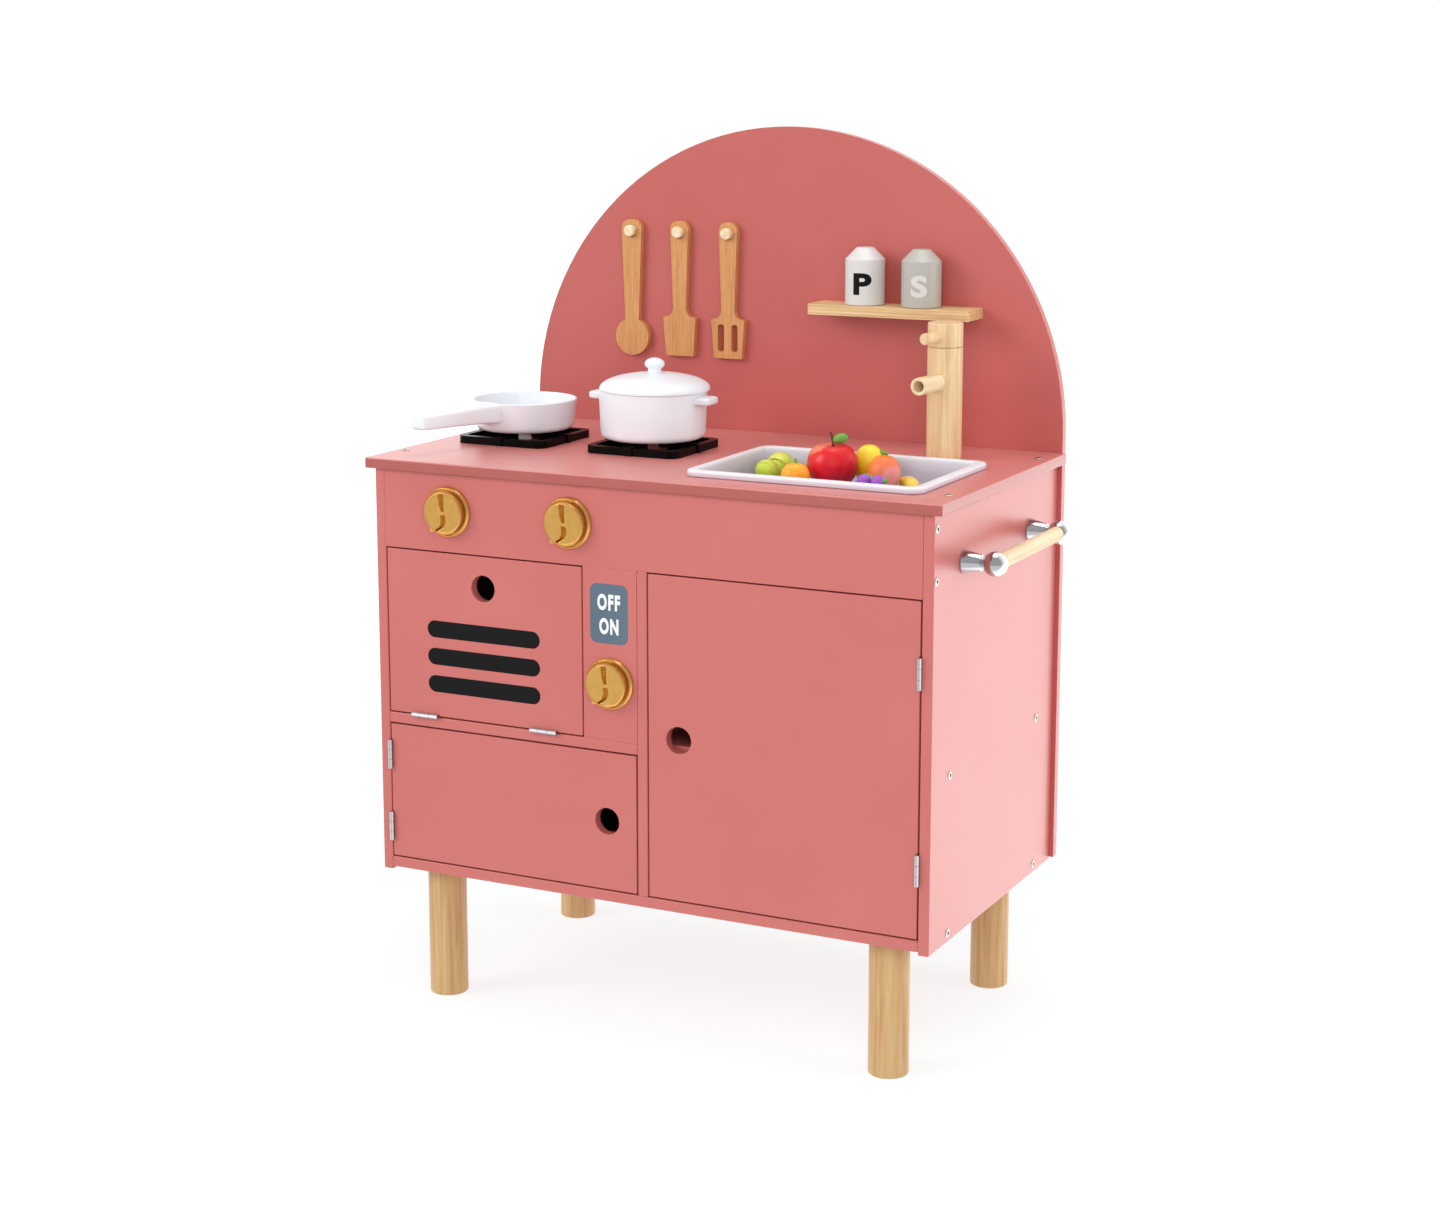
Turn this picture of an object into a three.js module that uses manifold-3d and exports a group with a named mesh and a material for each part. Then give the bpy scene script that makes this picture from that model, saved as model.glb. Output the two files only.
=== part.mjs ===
// A wooden toy kitchen for a small child, in millimetres, +Z up, +Y towards its back.
// Painted boards make a cabinet with a drop-down oven door and two side-hung doors, on four
// round legs. A half-round backboard carries pegs with utensils and a small spice shelf.
// Sizes are laid out from the middle of the worktop's front edge at floor level; at the end
// the whole group is moved so that its origin is at the bottom centre of its outer box.
import * as THREE from "three";
import { mergeVertices } from "three/addons/utils/BufferGeometryUtils.js";
import Module from "manifold-3d";

const wasm = await Module();
wasm.setup();

// Cabinet
const worktopWidth = 600;
const worktopDepth = 326;
const worktopTop = 543.6;
const worktopThickness = 10.3;
const board = 10.5;
const sideOverhang = 8.7;
const frontOverhang = 4.7;
const sidePanelBottom = 130.2;
const bottomBoardRecess = 3;
const backboardRecess = 2.6;
const fasciaHeight = 76.3;
const ovenShelfHeight = 281;
const dividerCentreX = 1;
const controlPanelWidth = 57.2;
const cupboardShelfSetback = 3;
const doorGap = 1.5;
const fingerHoleDiameter = 26;
const ovenHoleDrop = 31;
const sideDoorHoleInset = 31.5;

// Backboard, its pegs and the spice shelf
const backboardSideGap = 4.2;
const backboardThickness = 9.7;
const backboardRise = 312.2;
const pegDiameter = 12;
const pegLength = 14;
const pegChamfer = 1;
const pegDrop = 109.3;
const pegSpacing = 56;
const middlePegX = -122;
const spiceShelfWidth = 172;
const spiceShelfDepth = 42;
const spiceShelfThickness = 10.3;
const spiceShelfDrop = 173.5;
const spiceShelfCentreX = 124.5;
const spiceShelfCorner = 5;

// Legs
const legDiameter = 38;
const legChamfer = 2;
const legInsetX = 52;
const frontLegY = 39;
const rearLegInset = 26;

// Hinges: a butt hinge whose knuckles stand just in front of the boards
const hingeLength = 29;
const hingeKnuckles = 3;
const knuckleDiameter = 4.6;
const hingePinDiameter = 2;
const hingeBoreDiameter = 2.6;
const knuckleGap = 0.3;
const leafThickness = 0.8;
const leafSpace = 0.4;
const leafDepth = 8.5;
const leafSeatGap = 0.2;
const knuckleStandOff = 0.2;
const ovenHingeInset = 41.5;
const lowerHingeInset = 30.5;
const cupboardHingeInset = 65;

// Knobs
const knobFlangeDiameter = 49.6;
const knobFlangeHeight = 3.6;
const knobGrooveWidth = 2.4;
const knobGrooveFloor = 1.6;
const knobDialDiameter = 42;
const knobDialHeight = 11;
const knobDialChamfer = 1.6;
const knobScoopRadius = 17.2;
const knobScoopDepth = 5;
const knobRidgeWidth = 5;
const knobRidgeSwing = 4.5;
const knobSpindleDiameter = 8;
const knobSpindleClearance = 0.4;
const knobSeatGap = 0.3;
const hobKnobX = -142.6;
const hobKnobSpacing = 132.6;
const hobKnobHeightShare = 0.519;
const ovenKnobRise = 55.4;

// Towel rail on the right side
const railDrop = 63.6;
const railFrontY = 76;
const railRearY = 248;
const railBaseDiameter = 22;
const railNeckDiameter = 13;
const railConeLength = 17;
const railBallDiameter = 22.8;
const railBallReach = 30;
const railBallNeckShare = 0.75;
const railDowelDiameter = 14.4;
const railSocketDepth = 5;
const railSocketClearance = 0.3;

// Hob grates
const grateSize = 101;
const grateCorner = 11;
const grateBar = 7;
const grateHeight = 7.6;
const prongWidth = 7;
const prongProud = 1.6;
const prongOuterHeight = 8.6;
const prongTopHeight = 11.7;
const prongInnerRadius = 18;
const grateSideInset = 79;
const grateSpacing = 147;
const grateY = 170;

// Pan, pot and lid
const cookwareGap = 0.3;
const panDiameter = 106.4;
const panFootDiameter = 98;
const panHeight = 30.4;
const panWall = 3;
const panHandleReach = 152;
const panHandleWidth = 19;
const panHandleRootWidth = 30;
const panHandleHeight = 16;
const panHandleTilt = 12.4;
const panHandleDrop = 1.5;
const panFlareShare = 0.25;
const potDiameter = 107.2;
const potFootDiameter = 103;
const potHeight = 47.4;
const potWall = 3;
const potHandleReach = 67;
const potHandleWidth = 25;
const potHandleThickness = 8;
const potHandleDrop = 3.6;
const potHandleCorner = 8;
const footRounding = 7;
const lidDomeHeight = 16.8;
const lidWall = 3;
const lidSpigotDepth = 3;
const lidSpigotClearance = 2.6;
const lidOverhang = 0.9;
const lidShift = 2;
const lidKnobDiameter = 19.6;
const lidKnobNeckDiameter = 13;
const lidKnobHeight = 14.6;
// The knob's outline above its neck, as shares of its half width and of its height
const lidKnobShares = [[0.88, 0.38], [1, 0.6], [0.93, 0.82], [0.6, 1]];
const lidKnobNeckShare = 0.2;

// Sink basin and faucet
const basinSideMargin = 36;
const basinGrateSpacing = 101.5;
const basinFrontY = 37;
const basinFaucetClearance = 17;
const basinRimWidth = 8.5;
const basinRimHeight = 6;
const basinRimEdge = 1;
const basinCorner = 12;
const basinInnerCorner = 9;
const basinDepth = 26;
const basinWall = 2.4;
const basinDraft = 5;
const basinFloorRounding = 6;
const basinSeatGap = 0.3;
const basinCutoutClearance = 1;
const cornerSteps = 3;
const minimumStep = 0.001;
const faucetOffset = 57.75;
const faucetShelfClearance = 22;
const faucetDiameter = 34;
const faucetPostHeight = 108;
const faucetHeadHeight = 23;
const faucetTurn = 5.7;
const faucetSpigotDiameter = 12;
const faucetSpigotLength = 9;
const faucetSpigotClearance = 0.3;
const faucetPinDiameter = 10;
const faucetPinLength = 14;
const faucetSeatGap = 0.3;
const faucetEdge = 0.8;
const spoutDiameter = 17;
const spoutBore = 10.4;
const spoutReach = 54;
const spoutHeight = 75;
const spoutRoot = 7;
const spoutBoreDepth = 26;
const leverDiameter = 11;
const leverReach = 43;
const leverRise = 10.5;

// Utensils
const utensilThickness = 7;
const utensilGap = 0.3;
const utensilHoleClearance = 0.6;
const utensilTopReach = 12;
const utensilTotalLength = 142;
const utensilHang = 0.3;
// A handle's rounded top, as shares of its half width and of its reach above the peg
const handleTopShares = [[0, 1], [0.5, 0.94], [0.8, 0.74], [1, 0.36], [1, 0]];
const spoonTopWidth = 23;
const spoonWaistWidth = 16.5;
const spoonBowlDiameter = 39.2;
const turnerTopWidth = 20.5;
const turnerWaistWidth = 14.8;
const turnerBladeWidth = 37.8;
const turnerEndWidth = 31.8;
const turnerBladeLength = 40;
const turnerShoulder = 9;
const turnerShortfall = 2;
// The shoulder's curve, as shares of its width and of its length
const turnerShoulderShares = [[0.12, 0.5], [0.4, 0.875], [1, 1]];
const turnerSlotWidth = 7.4;
const turnerSlotLength = 28;
const turnerSlotOffset = 7.8;
const turnerSlotDrop = 23;
const turnerSlotCorner = 3;

// Shakers
const shakerDiameter = 39.6;
const shakerHeight = 56.7;
const shakerShoulderHeight = 45.2;
const shakerTopDiameter = 17;
const shakerEdge = 1;
const shakerSpacing = 60.2;
const shakerCentreX = 123.4;

// Toy fruit that lies in the sink, each placed from the basin's middle. All of it is made smaller
// with its places where the basin is too small for it.
const fruitGap = 0.3;
const appleDiameter = 49;
const appleHeight = 45;
const appleDimple = 5;
const appleStemDiameter = 3;
const appleStemLength = 13;
const appleStemLean = -0.15;
const appleLeafLength = 14;
const appleLeafShare = 0.55;
const appleLeafHeightShare = 0.55;
const appleX = -15.75;
const appleY = 23;
const pearDiameter = 26;
const pearNeckDiameter = 23;
const pearWaistDiameter = 22.3;
const pearLobeSpacing = 30;
const pearLobeShare = 0.58;
const pearDip = 0.04;
const pearTurn = 0.06;
const pearX = -82.25;
const pearY = 48;
const orangeDiameter = 28;
const orangeX = -38.25;
const orangeY = -12;
const lemonDiameter = 30;
const lemonLength = 39;
const lemonX = 8.25;
const lemonY = 55;
const peachDiameter = 33;
const peachX = 36.25;
const peachY = 25;
const fruitDimple = 1.5;
const dimpleStartShare = 0.72;
const grapeDiameter = 12.6;
const grapePitchShare = 0.92;
const grapeRowShare = 0.87;
const grapeRiseShare = 0.8;
const topGrapeShares = [[-0.5, -0.3], [0.7, -0.3]];
const grapesX = 44.25;
const grapesY = -24;
const bananaDiameter = 14;
const bananaLength = 52;
const bananaBend = 4;
const bananaTipShare = 0.3;
const bananaTaperShare = 0.6;
const bananaTurn = -1.1;
const bananaX = 59.75;
const bananaY = 26;
const fruitStemDiameter = 4;
const fruitStemLength = 4;
const fruitStemLean = 0.2;

const overrun = 1;

// Finishes
const finish = (color, roughness, metalness = 0) =>
  new THREE.MeshStandardMaterial({ color, roughness, metalness, flatShading: true });
const pinkPaint = finish(0xd3736d, 0.5);
const beech = finish(0xe6c493, 0.6);
const oiledBeech = finish(0xc98f52, 0.6);
const blackPlastic = finish(0x1b1b1c, 0.35);
const whitePlastic = finish(0xf2eff1, 0.35);
const greyPlastic = finish(0xd5d6d2, 0.4);
const goldPlastic = finish(0xd2a54a, 0.35, 0.4);
const steel = finish(0xc4c5c8, 0.3, 1);
const chrome = finish(0xd9dbde, 0.15, 1);
const appleRed = finish(0xd3202b, 0.35);
const pearGreen = finish(0xa9c23f, 0.4);
const orangeYellow = finish(0xf3ad34, 0.5);
const lemonYellow = finish(0xf4d02f, 0.45);
const peachPink = finish(0xee8462, 0.5);
const grapePurple = finish(0x8d3fa0, 0.35);
const bananaYellow = finish(0xf2d95c, 0.45);

const kitchen = new THREE.Group();

// Puts one named piece into the kitchen, or into a group of it.
function place(name, geometry, material, x = 0, y = 0, z = 0, parent = kitchen) {
  const mesh = new THREE.Mesh(geometry, material);
  mesh.name = name;
  mesh.position.set(x, y, z);
  parent.add(mesh);
  return mesh;
}

// A closed geometry as a solid for joining and cutting.
function solidOf(geometry) {
  const bare = geometry.clone();
  bare.deleteAttribute("normal");
  bare.deleteAttribute("uv");
  const merged = mergeVertices(bare);
  return new wasm.Manifold(
    new wasm.Mesh({
      numProp: 3,
      vertProperties: merged.attributes.position.array,
      triVerts: new Uint32Array(merged.index.array),
    }),
  );
}

function geometryOf(solid) {
  const mesh = solid.getMesh();
  const geometry = new THREE.BufferGeometry();
  geometry.setAttribute("position", new THREE.BufferAttribute(mesh.vertProperties, mesh.numProp));
  geometry.setIndex(new THREE.BufferAttribute(mesh.triVerts, 1));
  geometry.computeVertexNormals();
  return geometry;
}

const joined = (first, ...rest) =>
  geometryOf(rest.reduce((solid, geometry) => solid.add(solidOf(geometry)), solidOf(first)));

const cut = (first, ...rest) =>
  geometryOf(rest.reduce((solid, geometry) => solid.subtract(solidOf(geometry)), solidOf(first)));

// A box between two limits on each axis.
function block([x0, x1], [y0, y1], [z0, z1]) {
  const geometry = new THREE.BoxGeometry(x1 - x0, y1 - y0, z1 - z0);
  return geometry.translate((x0 + x1) / 2, (y0 + y1) / 2, (z0 + z1) / 2);
}

// A flat outline drawn in X and Z, made into a panel that lies between two values of Y.
function uprightPanel(shape, frontY, backY, curveSegments = 12) {
  const depth = backY - frontY;
  const geometry = new THREE.ExtrudeGeometry(shape, { depth, bevelEnabled: false, curveSegments });
  return geometry.rotateX(Math.PI / 2).translate(0, backY, 0);
}

// A round rod or hole along Z, from z0 to z1.
function rod(diameter, z0, z1, sides = 24) {
  const geometry = new THREE.CylinderGeometry(diameter / 2, diameter / 2, z1 - z0, sides);
  return geometry.rotateX(Math.PI / 2).translate(0, 0, (z0 + z1) / 2);
}

// A profile of [radius, height] points turned about Z, starting and ending on the axis.
function turned(profile, sides = 32) {
  const points = profile.map(([radius, height]) => new THREE.Vector2(radius, height));
  return new THREE.LatheGeometry(points, sides).rotateX(Math.PI / 2);
}

function rectangle([x0, x1], [y0, y1]) {
  const shape = new THREE.Shape();
  shape.moveTo(x0, y0).lineTo(x1, y0).lineTo(x1, y1).lineTo(x0, y1).closePath();
  return shape;
}

// A rectangle with round corners, as a path that can be an outline or a hole.
function roundedOutline(width, length, radius, PathType = THREE.Shape) {
  const x = width / 2;
  const y = length / 2;
  const quarter = Math.PI / 2;
  const path = new PathType();
  path.moveTo(x, radius - y);
  path.absarc(x - radius, y - radius, radius, 0, quarter);
  path.absarc(radius - x, y - radius, radius, quarter, 2 * quarter);
  path.absarc(radius - x, radius - y, radius, 2 * quarter, 3 * quarter);
  path.absarc(x - radius, radius - y, radius, 3 * quarter, 4 * quarter);
  return path;
}

function circle(x, y, diameter, sides = 24) {
  const points = [];
  for (let side = 0; side < sides; side++) {
    const angle = (-2 * Math.PI * side) / sides;
    const spoke = new THREE.Vector2(Math.cos(angle), Math.sin(angle));
    points.push(spoke.multiplyScalar(diameter / 2).add(new THREE.Vector2(x, y)));
  }
  return new THREE.Path(points);
}

// A skin over a row of rings with equal numbers of points, closed by a fan at each end.
function lofted(rings) {
  const sides = rings[0].length;
  const positions = rings.flat().flatMap((point) => [point.x, point.y, point.z]);
  const index = [];
  for (let ring = 0; ring + 1 < rings.length; ring++)
    for (let side = 0; side < sides; side++) {
      const next = (side + 1) % sides;
      const low = ring * sides;
      const high = low + sides;
      index.push(low + side, low + next, high + next, low + side, high + next, high + side);
    }
  const first = rings[0];
  const last = rings[rings.length - 1];
  const middle = (ring) =>
    ring.reduce((sum, point) => sum.add(point), new THREE.Vector3()).divideScalar(sides);
  [middle(first), middle(last)].forEach((point) => positions.push(point.x, point.y, point.z));
  const firstHub = rings.length * sides;
  const lastHub = firstHub + 1;
  const lastStart = (rings.length - 1) * sides;
  for (let side = 0; side < sides; side++) {
    const next = (side + 1) % sides;
    index.push(firstHub, next, side, lastHub, lastStart + side, lastStart + next);
  }
  const geometry = new THREE.BufferGeometry();
  geometry.setAttribute("position", new THREE.Float32BufferAttribute(positions, 3));
  geometry.setIndex(index);
  geometry.computeVertexNormals();
  return geometry;
}

// Heights and faces that several pieces share
const frontFace = frontOverhang;
const sideOuterX = worktopWidth / 2 - sideOverhang;
const sideInnerX = sideOuterX - board;
const worktopUnderside = worktopTop - worktopThickness;
const bottomBoardBottom = sidePanelBottom + bottomBoardRecess;
const bottomBoardTop = bottomBoardBottom + board;
const fasciaBottom = worktopUnderside - fasciaHeight;
const panelBack = frontFace + board;
const ovenShelfTop = ovenShelfHeight + board;
const hobKnobHeight = fasciaBottom + fasciaHeight * hobKnobHeightShare;
const ovenKnobHeight = ovenShelfTop + ovenKnobRise;
const railHeight = worktopTop - railDrop;
const dividerLeft = dividerCentreX - board / 2;
const dividerRight = dividerCentreX + board / 2;
const controlPanelLeft = dividerLeft - controlPanelWidth;
const controlPanelCentre = dividerLeft - controlPanelWidth / 2;
const backboardTop = worktopTop + backboardRise;
const backboardBottom = sidePanelBottom + backboardRecess;
const backboardRadius = worktopWidth / 2 - backboardSideGap;
const pegHeight = backboardTop - pegDrop;
const spiceShelfTop = backboardTop - spiceShelfDrop;

// The grates lie from the left edge, and the basin fills the room between the right grate, the
// worktop's right edge and the faucet. The faucet stands clear of the spice shelf.
const leftGrateX = grateSideInset - worktopWidth / 2;
const rightGrateX = leftGrateX + grateSpacing;
const faucetRadius = faucetDiameter / 2;
const faucetY = worktopDepth - spiceShelfDepth - faucetShelfClearance - faucetRadius;
const basinLeft = rightGrateX + basinGrateSpacing;
const basinRight = worktopWidth / 2 - basinSideMargin;
const basinRear = faucetY - faucetRadius - basinFaucetClearance;
const basinWidth = basinRight - basinLeft;
const basinLength = basinRear - basinFrontY;
const basinCentreX = (basinLeft + basinRight) / 2;
const basinCentreY = (basinFrontY + basinRear) / 2;
const faucetX = basinCentreX + faucetOffset;

// The faucet stands on a spigot in this hole, and each knob's spindle passes through one.
const faucetHoleDiameter = faucetSpigotDiameter + 2 * faucetSpigotClearance;
const spindleHoleDiameter = knobSpindleDiameter + 2 * knobSpindleClearance;
const basinBodyWidth = basinWidth - 2 * basinRimWidth + 2 * basinWall;
const basinBodyLength = basinLength - 2 * basinRimWidth + 2 * basinWall;

function addCarcass() {
  const depth = [frontFace, worktopDepth];
  const panelHeight = [sidePanelBottom, worktopUnderside];
  place("left_side_panel", block([-sideOuterX, -sideInnerX], depth, panelHeight), pinkPaint);
  place("right_side_panel", block([sideInnerX, sideOuterX], depth, panelHeight), pinkPaint);

  const inside = [-sideInnerX, sideInnerX];
  place("bottom_board", block(inside, depth, [bottomBoardBottom, bottomBoardTop]), pinkPaint);

  // The divider's front upper corner is notched for the fascia.
  const divider = cut(
    block([dividerLeft, dividerRight], depth, [bottomBoardTop, worktopUnderside]),
    block(
      [dividerLeft - overrun, dividerRight + overrun],
      [frontFace - overrun, panelBack],
      [fasciaBottom, worktopUnderside + overrun],
    ),
  );
  place("divider", divider, pinkPaint);

  const ovenShelf = block([-sideInnerX, dividerLeft], depth, [ovenShelfHeight, ovenShelfTop]);
  place("oven_shelf", ovenShelf, pinkPaint);

  const cupboardShelf = block(
    [dividerRight, sideInnerX],
    [panelBack + cupboardShelfSetback, worktopDepth],
    [ovenShelfHeight, ovenShelfTop],
  );
  place("cupboard_shelf", cupboardShelf, pinkPaint);
}

function addFascia() {
  const outline = rectangle([-sideInnerX, sideInnerX], [fasciaBottom, worktopUnderside]);
  for (const side of [-1, 1]) {
    const x = hobKnobX + (side * hobKnobSpacing) / 2;
    outline.holes.push(circle(x, hobKnobHeight, spindleHoleDiameter));
  }
  place("fascia", uprightPanel(outline, frontFace, panelBack, 8), pinkPaint);

  const panel = rectangle([controlPanelLeft, dividerLeft], [ovenShelfTop, fasciaBottom]);
  panel.holes.push(circle(controlPanelCentre, ovenKnobHeight, spindleHoleDiameter));
  place("control_panel", uprightPanel(panel, frontFace, panelBack, 8), pinkPaint);
}

function addWorktop() {
  const outline = rectangle([-worktopWidth / 2, worktopWidth / 2], [0, worktopDepth]);
  const cutout = roundedOutline(
    basinBodyWidth + 2 * basinCutoutClearance,
    basinBodyLength + 2 * basinCutoutClearance,
    basinInnerCorner + basinWall + basinCutoutClearance,
    THREE.Path,
  );
  const basinMiddle = new THREE.Vector2(basinCentreX, basinCentreY);
  const cutoutPoints = cutout.getPoints(cornerSteps).map((point) => point.add(basinMiddle));
  outline.holes.push(new THREE.Path(cutoutPoints));
  outline.holes.push(circle(faucetX, faucetY, faucetHoleDiameter));
  const worktop = new THREE.ExtrudeGeometry(outline, {
    depth: worktopThickness,
    bevelEnabled: false,
    curveSegments: 8,
  });
  place("worktop", worktop, pinkPaint, 0, 0, worktopUnderside);
}

// Straight sides up to a half circle that ends at the top.
function addBackboard() {
  const radius = backboardRadius;
  const outline = new THREE.Shape();
  outline.moveTo(-radius, backboardBottom).lineTo(radius, backboardBottom);
  outline.absarc(0, backboardTop - radius, radius, 0, Math.PI);
  outline.closePath();
  const back = worktopDepth + backboardThickness;
  place("backboard", uprightPanel(outline, worktopDepth, back, 30), pinkPaint);

  const pegNames = ["spoon_peg", "turner_peg", "slotted_turner_peg"];
  pegNames.forEach((name, number) => {
    const pegRadius = pegDiameter / 2;
    const profile = [
      [0, 0],
      [pegRadius, 0],
      [pegRadius, pegLength - pegChamfer],
      [pegRadius - pegChamfer, pegLength],
      [0, pegLength],
    ];
    const peg = place(name, turned(profile, 16), beech);
    peg.rotation.x = Math.PI / 2;
    peg.position.set(middlePegX + (number - 1) * pegSpacing, worktopDepth, pegHeight);
  });
}

function addSpiceShelf() {
  const halfWidth = spiceShelfWidth / 2;
  const corner = spiceShelfCorner;
  const outline = new THREE.Shape();
  outline.moveTo(halfWidth, spiceShelfDepth).lineTo(-halfWidth, spiceShelfDepth);
  outline.absarc(corner - halfWidth, corner, corner, Math.PI, 1.5 * Math.PI);
  outline.absarc(halfWidth - corner, corner, corner, 1.5 * Math.PI, 2 * Math.PI);
  outline.closePath();
  const shelf = new THREE.ExtrudeGeometry(outline, {
    depth: spiceShelfThickness,
    bevelEnabled: false,
    curveSegments: 5,
  });
  const y = worktopDepth - spiceShelfDepth;
  place("spice_shelf", shelf, beech, spiceShelfCentreX, y, spiceShelfTop - spiceShelfThickness);
}

function addLegs() {
  const radius = legDiameter / 2;
  const profile = [
    [0, 0],
    [radius - legChamfer, 0],
    [radius, legChamfer],
    [radius, bottomBoardBottom],
    [0, bottomBoardBottom],
  ];
  const legX = sideOuterX - legInsetX;
  const rearLegY = worktopDepth - rearLegInset;
  for (const [side, x] of [["left", -legX], ["right", legX]])
    for (const [end, y] of [["front", frontLegY], ["rear", rearLegY]])
      place(`${end}_${side}_leg`, turned(profile, 20), beech, x, y, 0);
}

// Both halves of a butt hinge, about an axis along X. The fixed leaf lies below the axis and
// carries the pin, the moving leaf lies above it, and both reach inwards along +Y.
function hingeHalves() {
  const radius = knuckleDiameter / 2;
  const pitch = hingeLength / hingeKnuckles;
  const along = (geometry) => geometry.rotateY(Math.PI / 2);
  const halves = { fixed: [], moving: [] };
  const plateStart = radius + knuckleGap;
  const plateEnd = radius + knuckleStandOff + leafDepth;
  const layers = {
    fixed: [-leafSpace / 2 - leafThickness, -leafSpace / 2],
    moving: [leafSpace / 2, leafSpace / 2 + leafThickness],
  };
  for (const half of ["fixed", "moving"])
    halves[half].push(
      block([-hingeLength / 2, hingeLength / 2], [plateStart, plateEnd], layers[half]),
    );
  for (let number = 0; number < hingeKnuckles; number++) {
    const half = number % 2 ? "moving" : "fixed";
    const trim = number % 2 ? 0 : knuckleGap;
    const x0 = number * pitch - hingeLength / 2 + (number ? trim : 0);
    const x1 = (number + 1) * pitch - hingeLength / 2 - (number + 1 < hingeKnuckles ? trim : 0);
    halves[half].push(along(rod(knuckleDiameter, x0, x1, 10)));
    halves[half].push(block([x0, x1], [0, plateStart + leafThickness], layers[half]));
  }
  const pin = along(rod(hingePinDiameter, -hingeLength / 2, hingeLength / 2, 8));
  const bore = along(rod(hingeBoreDiameter, -hingeLength, hingeLength, 8));
  return {
    fixed: joined(...halves.fixed, pin),
    moving: cut(joined(...halves.moving), bore),
  };
}

// Where the hinges' axes are, measured from the face that carries the fixed leaves.
const hingeAxisY = frontFace - knuckleStandOff - knuckleDiameter / 2;
const hingeAxisOffset = leafSeatGap + leafThickness + leafSpace / 2;
const mortiseDepth = hingeAxisOffset + leafSpace / 2 + leafThickness + leafSeatGap - doorGap;
const mortiseBack = hingeAxisY + knuckleDiameter / 2 + knuckleStandOff + leafDepth + leafSeatGap;

// The leaves of one hinge, set at an axis that is turned by an angle about Y.
function addHinge(name, halves, x, z, turn) {
  for (const [half, geometry] of Object.entries(halves)) {
    const mesh = place(`${name}_${half}_leaf`, geometry, steel, x, hingeAxisY, z);
    mesh.rotation.y = turn;
  }
}

// A door board with a round finger hole and a shallow mortise for each hinge leaf.
function doorBoard([x0, x1], [z0, z1], holeX, holeZ, mortises) {
  const outline = rectangle([x0, x1], [z0, z1]);
  outline.holes.push(circle(holeX, holeZ, fingerHoleDiameter));
  const panel = uprightPanel(outline, frontFace, panelBack, 16);
  return cut(panel, ...mortises);
}

function addOvenDoor(halves) {
  const left = doorGap - sideInnerX;
  const right = controlPanelLeft - doorGap;
  const bottom = ovenShelfTop + doorGap;
  const top = fasciaBottom - doorGap;
  const middle = (left + right) / 2;
  const halfMortise = hingeLength / 2 + leafSeatGap;
  const hingeX = [left + ovenHingeInset, right - ovenHingeInset];
  const mortises = hingeX.map((x) =>
    block(
      [x - halfMortise, x + halfMortise],
      [frontFace - overrun, mortiseBack],
      [bottom - overrun, bottom + mortiseDepth],
    ),
  );
  const door = doorBoard([left, right], [bottom, top], middle, top - ovenHoleDrop, mortises);
  place("oven_door", door, pinkPaint);
  ["left", "right"].forEach((side, number) =>
    addHinge(`oven_${side}_hinge`, halves, hingeX[number], ovenShelfTop + hingeAxisOffset, 0),
  );
}

// A door hung on a side panel: side is -1 for the left panel and 1 for the right one.
function addSideDoor(name, halves, side, [left, right], [bottom, top], hingeInset) {
  const hingeEdge = side < 0 ? left : right;
  const freeEdge = side < 0 ? right : left;
  const holeX = freeEdge + side * sideDoorHoleInset;
  const halfMortise = hingeLength / 2 + leafSeatGap;
  const hingeZ = [top - hingeInset, bottom + hingeInset];
  const mortises = hingeZ.map((z) => {
    const reach = [hingeEdge - side * mortiseDepth, hingeEdge + side * overrun];
    return block(
      [Math.min(...reach), Math.max(...reach)],
      [frontFace - overrun, mortiseBack],
      [z - halfMortise, z + halfMortise],
    );
  });
  const holeZ = (bottom + top) / 2;
  place(`${name}_door`, doorBoard([left, right], [bottom, top], holeX, holeZ, mortises), pinkPaint);
  const axisX = side * (sideInnerX - hingeAxisOffset);
  ["upper", "lower"].forEach((end, number) =>
    addHinge(`${name}_${end}_hinge`, halves, axisX, hingeZ[number], (-side * Math.PI) / 2),
  );
}

function addDoors() {
  const halves = hingeHalves();
  const bottom = bottomBoardTop + doorGap;
  addOvenDoor(halves);
  addSideDoor(
    "lower",
    halves,
    -1,
    [doorGap - sideInnerX, dividerLeft - doorGap],
    [bottom, ovenShelfHeight - doorGap],
    lowerHingeInset,
  );
  addSideDoor(
    "cupboard",
    halves,
    1,
    [dividerRight + doorGap, sideInnerX - doorGap],
    [bottom, fasciaBottom - doorGap],
    cupboardHingeInset,
  );
}

// Half of a knob's face, bounded by the grip ridge's S-shaped side and by a circle. Its own
// bottom face makes the scoop's floor when the pocket is tilted.
function scoopOutline() {
  const steps = 4;
  const shape = new THREE.Shape();
  const ridgeSide = (share) =>
    knobRidgeWidth / 2 + knobRidgeSwing * Math.sin(share * Math.PI) * (1 - Math.abs(share));
  const reach = Math.sqrt(knobScoopRadius ** 2 - (knobRidgeWidth / 2) ** 2);
  const start = Math.atan2(-reach, knobRidgeWidth / 2);
  shape.moveTo(knobRidgeWidth / 2, -reach);
  shape.absarc(0, 0, knobScoopRadius, start, -start);
  for (let step = 1; step < 2 * steps; step++) {
    const share = 1 - step / steps;
    shape.lineTo(ridgeSide(share), share * reach);
  }
  shape.closePath();
  return shape;
}

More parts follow.
